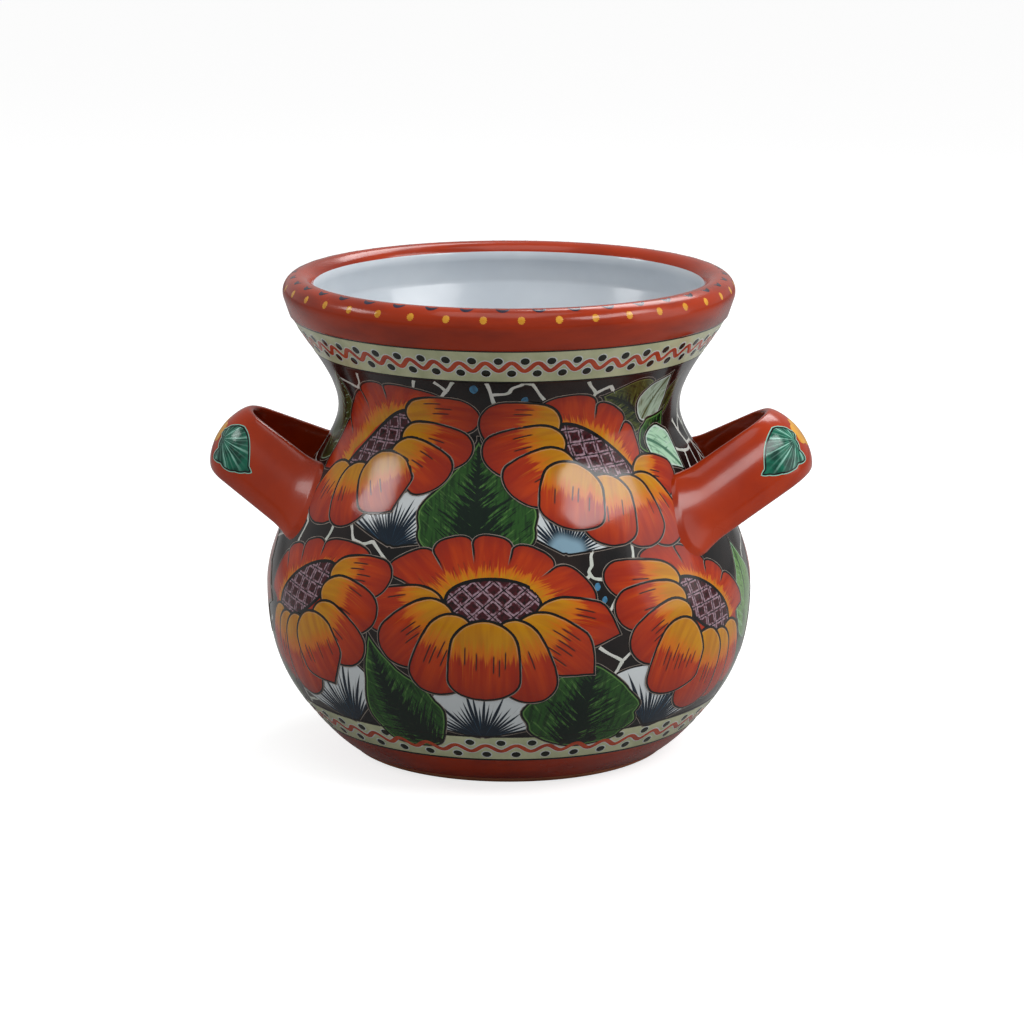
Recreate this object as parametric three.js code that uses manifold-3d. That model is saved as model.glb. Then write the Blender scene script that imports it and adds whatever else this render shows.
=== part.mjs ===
// A round-bellied pottery planter: a wheel-thrown wall that runs from a turned foot through a wide belly,
// a drawn-in neck and a flared collar to a rolled rim, with two wide strap handles luted to its shoulder.
// Millimetres, +Z up. The origin is the centre of the foot's resting face, and the handles lie along X.
import * as THREE from "three";
import { mergeVertices } from "three/addons/utils/BufferGeometryUtils.js";
import Module from "manifold-3d";

// The whole height, and the heights where the outside's form is set or one section is joined to the next
const HEIGHT = 250;
const LOWER_BELLY_HEIGHT = 0.102 * HEIGHT;
const BASE_HEIGHT = 0.2 * HEIGHT; // the joint below the belly
const BELLY_HEIGHT = 0.352 * HEIGHT;
const SHOULDER_HEIGHT = 0.54 * HEIGHT;
const NECK_HEIGHT = 0.728 * HEIGHT;
const COLLAR_HEIGHT = 0.92 * HEIGHT;

// Radii of the outside
const FOOT_RADIUS = 81.5;
const BELLY_RADIUS = 127.3;
const LOWER_BELLY_INSET = 19.5; // from the belly's radius to the wall's, low on the belly
const SHOULDER_INSET = 14.5; // the same, on the shoulder
const NECK_RADIUS = 89.4;
const COLLAR_RADIUS = 113.8;

// Slopes of the outside at its two ends, as growth of the radius per millimetre of height
const FOOT_SLOPE = 1.6;
const COLLAR_SLOPE = 0.56;

// Walls, floor and foot
const WALL = 7;
const RIM_WALL = 11; // the collar thickens to this where it carries the rolled rim
const FLOOR_THICKNESS = 8;
const FOOT_RING_HEIGHT = 3;
const FOOT_RING_WIDTH = 13;
const FLOOR_FILLET = 6; // between the floor and the wall, inside
const DRAIN_RADIUS = 8;

// Rolled rim: a round bead, seen in section
const BEAD_RADIUS = 8.5;
const BEAD_OVERHANG = 3.4; // how far the bead stands out past the collar's end

// Strap handles
const STRAP_WIDTH = 38;
const STRAP_THICKNESS = 7.5; // of the plain band, without its crown
const STRAP_CROWN = 4; // what the middle of the outer face stands out over its edges
const STRAP_SQUARENESS = 3; // of the band's section: 2 is an ellipse, more has flatter faces
const STRAP_TILT = 5; // degrees that the strap's width leans inwards from square to its loop
const STRAP_LEAN = 1.5; // an arm's lower edge is this much further out than its middle, at the wall
const HANDLE_PROJECTION = 45.6; // how far a handle stands out past the shoulder's radius
const JOINT_GAP = 0.3; // slip joint between a handle's root and the wall

// Each handle: the degrees that its loop tilts up, the height over the shoulder where the loop's plane
// meets the wall, the radius of its tip, and half the distance between its arms' middle lines there. The
// two differ, as hand-pulled ones do
const RIGHT_TILT = 31;
const RIGHT_ROOT_RISE = 10;
const RIGHT_TIP_RADIUS = 26;
const RIGHT_HALF_SPAN = 39;
const LEFT_TILT = 27.5;
const LEFT_ROOT_RISE = 7.5;
const LEFT_TIP_RADIUS = 18.5;
const LEFT_HALF_SPAN = 34.5;

// Mesh fineness
const SEGMENTS = 64;
const WALL_STEP = 11; // height of one band of facets on the wall
const BEAD_STEPS = 12;
const ARM_STEPS = 6; // along an arm of a handle
const TIP_STEPS = 14; // round a handle's tip
const SECTION_STEPS = 20; // round the strap's section

const BLACK_GROUND = new THREE.Color(0.06, 0.055, 0.055);
const ORANGE = new THREE.Color(0.48, 0.06, 0.015);
const WHITE_GLAZE = new THREE.Color(0.72, 0.74, 0.77);
const CLAY = new THREE.Color(0.5, 0.24, 0.13);

const glazed = (color) => new THREE.MeshStandardMaterial({ color, roughness: 0.15, metalness: 0 });
const bare = (color) => new THREE.MeshStandardMaterial({ color, roughness: 0.85, metalness: 0 });

const FLOOR_TOP = FOOT_RING_HEIGHT + FLOOR_THICKNESS;
const FILLET_TOP = FLOOR_TOP + FLOOR_FILLET;
const SHOULDER_RADIUS = BELLY_RADIUS - SHOULDER_INSET;
const TILT_SLOPE = Math.tan(THREE.MathUtils.degToRad(STRAP_TILT));

const HANDLES = [
  {
    name: "handle_right",
    side: 1,
    tilt: RIGHT_TILT,
    rootRise: RIGHT_ROOT_RISE,
    tipRadius: RIGHT_TIP_RADIUS,
    halfSpan: RIGHT_HALF_SPAN,
  },
  {
    name: "handle_left",
    side: -1,
    tilt: LEFT_TILT,
    rootRise: LEFT_ROOT_RISE,
    tipRadius: LEFT_TIP_RADIUS,
    halfSpan: LEFT_HALF_SPAN,
  },
];

// The outside of the wall: its radius at a few heights, and the slope where it is set
const STATIONS = [
  { z: 0, r: FOOT_RADIUS, slope: FOOT_SLOPE },
  { z: LOWER_BELLY_HEIGHT, r: BELLY_RADIUS - LOWER_BELLY_INSET },
  { z: BELLY_HEIGHT, r: BELLY_RADIUS, slope: 0 },
  { z: SHOULDER_HEIGHT, r: SHOULDER_RADIUS },
  { z: NECK_HEIGHT, r: NECK_RADIUS, slope: 0 },
  { z: COLLAR_HEIGHT, r: COLLAR_RADIUS, slope: COLLAR_SLOPE },
];

// Slope at each station: as set, or that of the parabola through it and its two neighbours
const slopes = STATIONS.map((station, i) => {
  if (station.slope !== undefined) return station.slope;
  const below = STATIONS[i - 1];
  const above = STATIONS[i + 1];
  const before = (station.r - below.r) / (station.z - below.z);
  const after = (above.r - station.r) / (above.z - station.z);
  return THREE.MathUtils.lerp(before, after, (station.z - below.z) / (above.z - below.z));
});

// Radius and slope of the outside at a height, by the cubic that joins its two stations
function outside(z) {
  const above = STATIONS.findIndex((station) => station.z >= z);
  const i = Math.max(1, above < 0 ? STATIONS.length - 1 : above);
  const [low, high] = [STATIONS[i - 1], STATIONS[i]];
  const span = high.z - low.z;
  const t = (z - low.z) / span;
  const rise = high.r - low.r;
  const start = slopes[i - 1] * span;
  const end = slopes[i] * span;
  const r = low.r + start * t + (3 * rise - 2 * start - end) * t ** 2 + (start + end - 2 * rise) * t ** 3;
  const gain = start + 2 * (3 * rise - 2 * start - end) * t + 3 * (start + end - 2 * rise) * t ** 2;
  return { r, slope: gain / span };
}

// Wall thickness at a height: even up to the neck, then growing to what carries the rim
function thickness(z) {
  const t = THREE.MathUtils.clamp((z - NECK_HEIGHT) / (COLLAR_HEIGHT - NECK_HEIGHT), 0, 1);
  return THREE.MathUtils.lerp(WALL, RIM_WALL, t * t);
}

// A point on the inside, stepped in from the outside at height z along its normal
function steppedIn(z) {
  const { r, slope } = outside(z);
  const along = thickness(z) / Math.hypot(1, slope);
  return { r: r - along, z: z + along * slope };
}

// Inner radius at a height: the outside height whose stepped-in point lies there is found by halving
function inside(z) {
  let [low, high] = [-FLOOR_TOP, HEIGHT];
  for (let k = 0; k < 40; k += 1) {
    const middle = (low + high) / 2;
    if (steppedIn(middle).z < z) low = middle;
    else high = middle;
  }
  return steppedIn(low).r;
}

// Heights from one joint to the next, in even bands
function heights(from, to) {
  const count = Math.max(2, Math.round((to - from) / WALL_STEP));
  return Array.from({ length: count + 1 }, (_, k) => from + ((to - from) * k) / count);
}

// A solid turned from a closed outline of [radius, height] points, outside first and upwards
function turned(points) {
  const outline = [...points, points[0]].map(([r, z]) => new THREE.Vector2(r, z));
  return new THREE.LatheGeometry(outline, SEGMENTS).rotateX(Math.PI / 2);
}

// A ring of the thrown wall between two heights
function wallRing(from, to) {
  const outer = heights(from, to).map((z) => [outside(z).r, z]);
  const inner = heights(from, to).map((z) => [inside(z), z]);
  return turned([...outer, ...inner.reverse()]);
}

function mesh(name, geometry, material) {
  const made = new THREE.Mesh(geometry, material);
  made.name = name;
  return made;
}

// Turned foot: the ring that the planter stands on
function footRing() {
  const innerRadius = FOOT_RADIUS - FOOT_RING_WIDTH;
  return turned([
    [FOOT_RADIUS, 0],
    [outside(FOOT_RING_HEIGHT).r, FOOT_RING_HEIGHT],
    [innerRadius, FOOT_RING_HEIGHT],
    [innerRadius, 0],
  ]);
}

// Inner radius where a fillet rounds the corner between the floor and the wall
function filleted(z) {
  const depth = THREE.MathUtils.clamp((FILLET_TOP - z) / FLOOR_FILLET, 0, 1);
  return inside(z) - FLOOR_FILLET * (1 - Math.sqrt(1 - depth ** 2));
}

// Floor slab inside the wall, out to the fillet, with the drain hole at its middle
function floorSlab() {
  const edge = filleted(FLOOR_TOP);
  return turned([
    [edge, FOOT_RING_HEIGHT],
    [edge, FLOOR_TOP],
    [DRAIN_RADIUS, FLOOR_TOP],
    [DRAIN_RADIUS, FOOT_RING_HEIGHT],
  ]);
}

// Lowest section of the wall, round the floor slab and with the fillet over its edge
function floorEdge() {
  const outer = heights(FOOT_RING_HEIGHT, FILLET_TOP).map((z) => [outside(z).r, z]);
  const fillet = [0, 0.3, 0.65, 1].map((share) => FLOOR_TOP + FLOOR_FILLET * share ** 1.5);
  const inner = fillet.map((z) => [filleted(z), z]).reverse();
  return turned([...outer, ...inner, [filleted(FLOOR_TOP), FOOT_RING_HEIGHT]]);
}

// Rolled rim: a bead that leaves the collar's end on a tangent and comes back to the collar's inside
function rimRoll() {
  const centre = new THREE.Vector2(COLLAR_RADIUS + BEAD_OVERHANG - BEAD_RADIUS, HEIGHT - BEAD_RADIUS);
  const innerEnd = new THREE.Vector2(inside(COLLAR_HEIGHT), COLLAR_HEIGHT);
  const outerEnd = new THREE.Vector2(COLLAR_RADIUS, COLLAR_HEIGHT);
  const tangent = (point) => {
    const away = point.clone().sub(centre);
    const spread = Math.acos(Math.min(1, BEAD_RADIUS / away.length()));
    return { angle: Math.atan2(away.y, away.x), spread };
  };
  const [out, back] = [tangent(outerEnd), tangent(innerEnd)];
  const start = out.angle + out.spread;
  const end = back.angle - back.spread + 2 * Math.PI;
  const bead = Array.from({ length: BEAD_STEPS + 1 }, (_, k) => {
    const a = THREE.MathUtils.lerp(start, end, k / BEAD_STEPS);
    return [centre.x + BEAD_RADIUS * Math.cos(a), centre.y + BEAD_RADIUS * Math.sin(a)];
  });
  return turned([outerEnd.toArray(), ...bead, innerEnd.toArray()]);
}

// Middle line of a strap loop in its own plane: two straight arms that draw together from the wall, at
// x = 0, and a round tip between them. Both ends are carried on into the wall
function loopLine(length, tipRadius, halfSpan) {
  const centre = length - tipRadius;
  const reach = Math.hypot(centre, halfSpan);
  // The arm touches the tip's circle where the circle's radius is square to it
  const turn = Math.atan2(halfSpan, -centre) - Math.acos(tipRadius / reach);
  const touch = new THREE.Vector2(centre + tipRadius * Math.cos(turn), tipRadius * Math.sin(turn));
  const along = touch.clone().sub(new THREE.Vector2(0, halfSpan)).normalize();
  const inWall = new THREE.Vector2(0, halfSpan).addScaledVector(along, -STRAP_WIDTH);
  const arm = Array.from({ length: ARM_STEPS }, (_, k) => inWall.clone().lerp(touch, k / ARM_STEPS));
  const tip = Array.from({ length: TIP_STEPS + 1 }, (_, k) => {
    const a = turn * (1 - (2 * k) / TIP_STEPS);
    return new THREE.Vector2(centre + tipRadius * Math.cos(a), tipRadius * Math.sin(a));
  });
  const mirrored = arm.map(({ x, y }) => new THREE.Vector2(x, -y)).reverse();
  return [...arm, ...tip, ...mirrored].reverse();
}

// Section of the strap, x across its thickness and y along its width: a band with round edges whose
// outer face is crowned
function strapSection() {
  const power = 2 / STRAP_SQUARENESS;
  return Array.from({ length: SECTION_STEPS }, (_, k) => {
    const a = (2 * Math.PI * (k + 0.5)) / SECTION_STEPS;
    const across = Math.sign(Math.cos(a)) * Math.abs(Math.cos(a)) ** power;
    const along = Math.sign(Math.sin(a)) * Math.abs(Math.sin(a)) ** power;
    const crown = (STRAP_CROWN * (1 - along ** 2) * (1 + across)) / 2;
    return new THREE.Vector2((STRAP_THICKNESS / 2) * across + crown, (STRAP_WIDTH / 2) * along);
  });
}

// A strap bent into a loop: its section swept along the loop line
function strapLoop(length, tipRadius, halfSpan) {
  const line = loopLine(length, tipRadius, halfSpan);
  const rings = line.map((point, i) => {
    const ahead = line[Math.min(i + 1, line.length - 1)].clone().sub(line[Math.max(i - 1, 0)]).normalize();
    return strapSection().map(({ x: out, y: up }) => {
      const lean = 1 - ((STRAP_LEAN / halfSpan) * up) / (STRAP_WIDTH / 2);
      return [point.x + out * ahead.y - up * TILT_SLOPE, (point.y - out * ahead.x) * lean, up];
    });
  });
  const sides = SECTION_STEPS;
  const index = [];
  for (let i = 0; i + 1 < rings.length; i += 1) {
    for (let j = 0; j < sides; j += 1) {
      const [a, b] = [i * sides + j, i * sides + ((j + 1) % sides)];
      index.push(a, b + sides, b, a, a + sides, b + sides);
    }
  }
  const last = (rings.length - 1) * sides;
  for (let j = 1; j + 1 < sides; j += 1) {
    index.push(0, j, j + 1, last, last + j + 1, last + j);
  }
  const geometry = new THREE.BufferGeometry();
  geometry.setAttribute("position", new THREE.Float32BufferAttribute(rings.flat(2), 3));
  geometry.setIndex(index);
  return geometry;
}

const wasm = await Module();
wasm.setup();

// A closed mesh as a solid that can be cut
function solidOf(geometry) {
  const bareGeometry = geometry.clone();
  bareGeometry.deleteAttribute("normal");
  bareGeometry.deleteAttribute("uv");
  const merged = mergeVertices(bareGeometry, 1e-4);
  const vertProperties = new Float32Array(merged.attributes.position.array);
  const triVerts = new Uint32Array(merged.index.array);
  return new wasm.Manifold(new wasm.Mesh({ numProp: 3, vertProperties, triVerts }));
}

// A cut solid as a mesh again
function geometryOf(solid) {
  const cut = solid.getMesh();
  const geometry = new THREE.BufferGeometry();
  geometry.setAttribute("position", new THREE.BufferAttribute(cut.vertProperties, 3));
  geometry.setIndex(new THREE.BufferAttribute(cut.triVerts, 1));
  return geometry;
}

// All that the wall holds, grown by the slip joint: the handles are trimmed to it
function wallEnvelope() {
  const grown = heights(0, COLLAR_HEIGHT).map((z) => {
    const { r, slope } = outside(z);
    return [r + JOINT_GAP * Math.hypot(1, slope), z];
  });
  return solidOf(turned([[0, 0], ...grown, [0, COLLAR_HEIGHT]]));
}

// A strap handle, tilted up from the shoulder and trimmed where it meets the wall. Its loop is as long
// as brings the furthest point of its tip to the projection
function strapHandle({ side, tilt, rootRise, tipRadius, halfSpan }, envelope) {
  const up = THREE.MathUtils.degToRad(tilt);
  const outward = strapSection().map(({ x, y }) => (x - y * TILT_SLOPE) * Math.cos(up) - y * Math.sin(up));
  const length = (HANDLE_PROJECTION - Math.max(...outward)) / Math.cos(up);
  const placed = strapLoop(length, tipRadius, halfSpan)
    .rotateY(-up)
    .translate(SHOULDER_RADIUS, 0, SHOULDER_HEIGHT + rootRise)
    .rotateZ(side > 0 ? 0 : Math.PI);
  return geometryOf(solidOf(placed).subtract(envelope));
}

const planter = new THREE.Group();
const painted = glazed(BLACK_GROUND);
planter.add(
  mesh("foot_ring", footRing(), bare(CLAY)),
  mesh("floor_slab", floorSlab(), glazed(WHITE_GLAZE)),
  mesh("floor_edge", floorEdge(), painted),
  mesh("base_wall", wallRing(FILLET_TOP, BASE_HEIGHT), painted),
  mesh("belly_wall", wallRing(BASE_HEIGHT, BELLY_HEIGHT), painted),
  mesh("shoulder_wall", wallRing(BELLY_HEIGHT, SHOULDER_HEIGHT), painted),
  mesh("neck_wall", wallRing(SHOULDER_HEIGHT, NECK_HEIGHT), painted),
  mesh("collar_wall", wallRing(NECK_HEIGHT, COLLAR_HEIGHT), painted),
  mesh("rim_roll", rimRoll(), glazed(ORANGE)),
);

const envelope = wallEnvelope();
for (const handle of HANDLES) {
  planter.add(mesh(handle.name, strapHandle(handle, envelope), glazed(ORANGE)));
}

export default planter;
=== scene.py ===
"""A hand-painted pottery planter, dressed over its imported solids.

Smooth glazed skins, strap handles and a painting stand for the faceted solids. The painting is laid on the
wall as thin coats of glaze: sunflowers, leaves and white tufts on a black ground with pale crackle lines,
between two sage borders that carry a wavy line and dots.

Sizes are in millimetres until a mesh is put in the scene. A place on the wall is its azimuth in degrees,
from the front towards the right handle, and the length along the outside from the foot upwards.
"""

from __future__ import annotations

import logging
import math
from collections.abc import Sequence
from dataclasses import dataclass, field
from enum import Enum

import bpy
import numpy as np
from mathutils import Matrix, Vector
from numpy.typing import NDArray

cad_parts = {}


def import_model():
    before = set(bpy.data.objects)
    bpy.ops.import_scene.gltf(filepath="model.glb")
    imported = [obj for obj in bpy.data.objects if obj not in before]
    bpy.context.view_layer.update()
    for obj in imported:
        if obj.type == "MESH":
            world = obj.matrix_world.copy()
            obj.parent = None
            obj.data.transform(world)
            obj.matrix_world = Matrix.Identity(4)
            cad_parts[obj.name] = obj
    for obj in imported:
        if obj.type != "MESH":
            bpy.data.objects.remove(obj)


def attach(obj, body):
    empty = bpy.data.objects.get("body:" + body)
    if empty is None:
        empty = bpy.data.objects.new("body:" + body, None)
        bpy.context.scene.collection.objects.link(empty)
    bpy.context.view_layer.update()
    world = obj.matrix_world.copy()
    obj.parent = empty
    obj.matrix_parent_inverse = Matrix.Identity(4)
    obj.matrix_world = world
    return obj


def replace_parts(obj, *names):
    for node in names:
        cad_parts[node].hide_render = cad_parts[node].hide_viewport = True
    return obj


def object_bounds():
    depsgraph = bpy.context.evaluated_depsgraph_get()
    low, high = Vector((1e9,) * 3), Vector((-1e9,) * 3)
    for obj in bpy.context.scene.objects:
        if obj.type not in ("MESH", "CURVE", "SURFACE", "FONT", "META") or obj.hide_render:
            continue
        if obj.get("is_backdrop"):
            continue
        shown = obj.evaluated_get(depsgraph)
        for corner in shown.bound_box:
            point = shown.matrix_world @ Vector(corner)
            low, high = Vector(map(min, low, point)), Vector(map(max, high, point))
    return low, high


LOG = logging.getLogger("planter")
Numbers = NDArray[np.float64]
MM = 0.001
TURNS = 360  # facets round the pot
COAT_DEPTH = 0.55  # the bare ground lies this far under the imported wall, which leaves room for the painting
COAT_BACK = -0.3  # height of a coat's hidden back, from the ground
COAT_RISE = 0.026  # from its outline to its middle
EDGE_SOFTNESS = 1.3
BED_LIFT = 0.13  # height over the ground, as in the next two
DISC_LIFT = 0.252
TUFT_LIFT = 0.05
BED_SHARE = 0.8  # how far a flower's bed reaches to each tip
HALF_OUTLINE = 0.75
LOBE_DEPTH = 0.1
STROKE_BACK = -0.2  # the same of a line or dot
STROKE_DROP = 0.05  # a line's edges lie this far under its middle
ACROSS = np.array([-1.0, -0.6, 0.0, 0.6, 1.0])  # places across a painted line
RING_STEPS = 720  # places on a line round the pot
DOT_SIDES = 12
SHARP_EDGE = math.radians(38)
Rows = tuple[tuple[float, ...], ...]
Palette = dict[str, bpy.types.Material]


class Hue(Enum):
    """Colours of the glazes and underglazes, each as red, green and blue out of 255."""

    ORANGE = (174, 51, 4)
    BRICK = (142, 36, 12)
    RUST = (166, 48, 7)
    RUST_DEEP = (118, 32, 14)
    PETAL_ORANGE = (184, 58, 7)
    PETAL_RED = (164, 40, 7)
    PETAL_EDGE = (134, 32, 22)
    GOLD = (200, 136, 2)
    OCHRE = (182, 114, 3)
    FLAME = (204, 108, 6)
    INK = (7, 6, 6)
    STROKE = (70, 28, 18)
    PALE_LINE = (196, 180, 168)
    MAROON = (70, 14, 24)
    LATTICE = (164, 134, 146)
    GROUND = (15, 13, 14)
    GROUND_BROWN = (40, 28, 24)
    CRACKLE = (214, 214, 208)
    SAGE = (198, 201, 164)
    SAGE_DEEP = (166, 174, 134)
    WAVE = (186, 72, 36)
    DOT = (20, 28, 14)
    NAVY = (44, 40, 62)
    YELLOW_DOT = (222, 160, 52)
    LEAF = (38, 80, 30)
    LEAF_DEEP = (3, 21, 15)
    LEAF_LIGHT = (104, 148, 76)
    OLIVE = (66, 74, 30)
    MOSS_LIGHT = (112, 122, 62)
    GREY_GREEN = (158, 178, 156)
    MINT = (168, 208, 176)
    MINT_DEEP = (60, 110, 84)
    TEAL = (14, 104, 80)
    TEAL_DEEP = (4, 58, 46)
    TEAL_LIGHT = (150, 206, 188)
    TUFT = (208, 214, 216)
    TUFT_DEEP = (16, 32, 46)
    BLUE = (74, 134, 172)
    BLUE_LIGHT = (132, 164, 182)
    WHITE_GLAZE = (206, 213, 219)
    WHITE_SHADE = (186, 195, 204)
    CLAY = (186, 118, 84)
    CLAY_DEEP = (150, 88, 60)

    def linear(self) -> tuple[float, float, float, float]:
        """The colour as linear light.

        Returns:
            Red, green, blue and a full alpha.
        """
        shares = (c / 255 for c in self.value)
        red, green, blue = (s / 12.92 if s < 0.04045 else ((s + 0.055) / 1.055) ** 2.4 for s in shares)
        return red, green, blue, 1.0


# Meshes


@dataclass
class Surface:
    """One closed surface: its points in millimetres, its quads and the painted values of its points."""

    points: Numbers
    faces: NDArray[np.int64]
    values: dict[str, Numbers] = field(default_factory=dict)

    @staticmethod
    def joined(parts: Sequence[Surface]) -> Surface:
        """Several surfaces as one.

        Args:
            parts: the surfaces.

        Returns:
            One surface, with zero for a value that a part lacks.
        """
        starts = np.cumsum([0] + [len(part.points) for part in parts[:-1]])
        faces = np.concatenate([part.faces + start for part, start in zip(parts, starts)])
        values = {
            name: np.concatenate([part.values.get(name, np.zeros(len(part.points))) for part in parts])
            for name in sorted({name for part in parts for name in part.values})
        }
        return Surface(np.concatenate([part.points for part in parts]), faces, values)

    def placed(
        self, name: str, material: bpy.types.Material, slot: str = "painted_glaze"
    ) -> bpy.types.Object:
        """Puts the surface in the scene as a piece of the pot.

        Args:
            name: the piece's name.
            material: its finish.
            slot: the record's material slot that the finish belongs to; not used.

        Returns:
            The piece, at the origin, riding on the pot.
        """
        mesh = bpy.data.meshes.new(name)
        count = len(self.faces)
        mesh.vertices.add(len(self.points))
        mesh.vertices.foreach_set("co", (self.points * MM).astype(np.float32).ravel())
        mesh.loops.add(4 * count)
        mesh.loops.foreach_set("vertex_index", self.faces.astype(np.int32).ravel())
        mesh.polygons.add(count)
        mesh.polygons.foreach_set("loop_start", np.arange(0, 4 * count, 4, dtype=np.int32))
        mesh.polygons.foreach_set("use_smooth", np.ones(count, dtype=bool))
        mesh.update(calc_edges=True)
        mesh.validate()
        for key, painted in self.values.items():
            mesh.attributes.new(key, "FLOAT", "POINT").data.foreach_set("value", painted.astype(np.float32))
        mesh.set_sharp_from_angle(angle=SHARP_EDGE)
        mesh.materials.append(material)
        piece = bpy.data.objects.new(name, mesh)
        bpy.context.scene.collection.objects.link(piece)
        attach(piece, "root")
        LOG.info("%s: %d points, %d quads", name, len(self.points), count)
        return piece


def grid_faces(rows: int, columns: int, wrap: bool = False) -> NDArray[np.int64]:
    """Quads of a grid whose points are numbered row by row.

    Args:
        rows: the number of rows of points.
        columns: the number of points in a row.
        wrap: whether each row closes on itself.

    Returns:
        The quads, each from a point to its row's next point and then to the next row.
    """
    row, column = np.meshgrid(np.arange(rows - 1), np.arange(columns - (not wrap)), indexing="ij")
    start, ahead = row * columns + column, row * columns + (column + 1) % columns
    return as_points(start, ahead, ahead + columns, start + columns).reshape(-1, 4)


def as_points(*places: Numbers) -> Numbers:
    """Points from their places along each axis, which become the last size."""
    return np.stack(places, axis=-1)


def round_axis(radius: Numbers, angle: Numbers, height: Numbers) -> Numbers:
    """Points at a radius and an angle in radians round the pot's axis, from the front to the right."""
    return as_points(radius * np.sin(angle), -radius * np.cos(angle), height + 0 * angle)


def tube(points: Numbers) -> Surface:
    """A surface over a grid of points, rows by columns by 3, which closes on itself both ways."""
    rows, columns = points.shape[:2]
    return Surface(points.reshape(-1, 3), grid_faces(rows + 1, columns, wrap=True) % (rows * columns))


def turned(outline: Numbers) -> Surface:
    """A solid of revolution about the pot's axis.

    Args:
        outline: points of (radius, height), closed on itself, first up the outside.

    Returns:
        The closed surface.
    """
    angle = 2 * np.pi * np.arange(TURNS) / TURNS
    return tube(round_axis(outline[:, :1], angle, outline[:, 1:]))


def slab(front: Numbers, back: Numbers, values: dict[str, Numbers] | None = None) -> Surface:
    """A thin closed body between two grids of points, with walls round their border.

    Args:
        front: grid of points that shows, rows by columns by 3.
        back: the grid behind it, of the same size.
        values: painted values on the front grid, which the back shares.

    Returns:
        The body, with its faces outwards: where the front's faces look backwards, all are turned.
    """
    rows, columns = front.shape[:2]
    count = rows * columns
    face = grid_faces(rows, columns)
    border = border_of(np.arange(count).reshape(rows, columns))
    ahead = np.roll(border, -1)
    walls = as_points(ahead, border, border + count, ahead + count)
    faces = np.concatenate([face, face[:, ::-1] + count, walls])
    middle = front.reshape(-1, 3)
    lift = (front - back).reshape(-1, 3).mean(axis=0)
    a, b, c = (middle[face[:, k]] for k in (0, 1, 3))
    if np.einsum("ij,j->", np.cross(b - a, c - a), lift) < 0:
        faces = faces[:, ::-1]
    both = {name: np.tile(grid.ravel(), 2) for name, grid in (values or {}).items()}
    return Surface(np.concatenate([middle, back.reshape(-1, 3)]), faces, both)


def border_of(grid: Numbers) -> Numbers:
    """The entries on a grid's border, once round."""
    return np.concatenate([grid[0, :-1], grid[:-1, -1], grid[-1, :0:-1], grid[:0:-1, 0]])


def distance_to(outline: Numbers, points: Numbers) -> Numbers:
    """Distance from each point to a closed outline, as the least distance to any of its sides.

    Args:
        outline: corners, m by 2.
        points: places, n by 2.

    Returns:
        The n distances.
    """
    side = np.roll(outline, -1, axis=0) - outline
    length = np.maximum((side**2).sum(axis=1), 1e-12)
    away = points[:, None, :] - outline[None, :, :]
    share = np.clip((away * side).sum(axis=2) / length, 0, 1)
    return np.sqrt(((away - share[..., None] * side) ** 2).sum(axis=2)).min(axis=1)


# The thrown form


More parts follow.
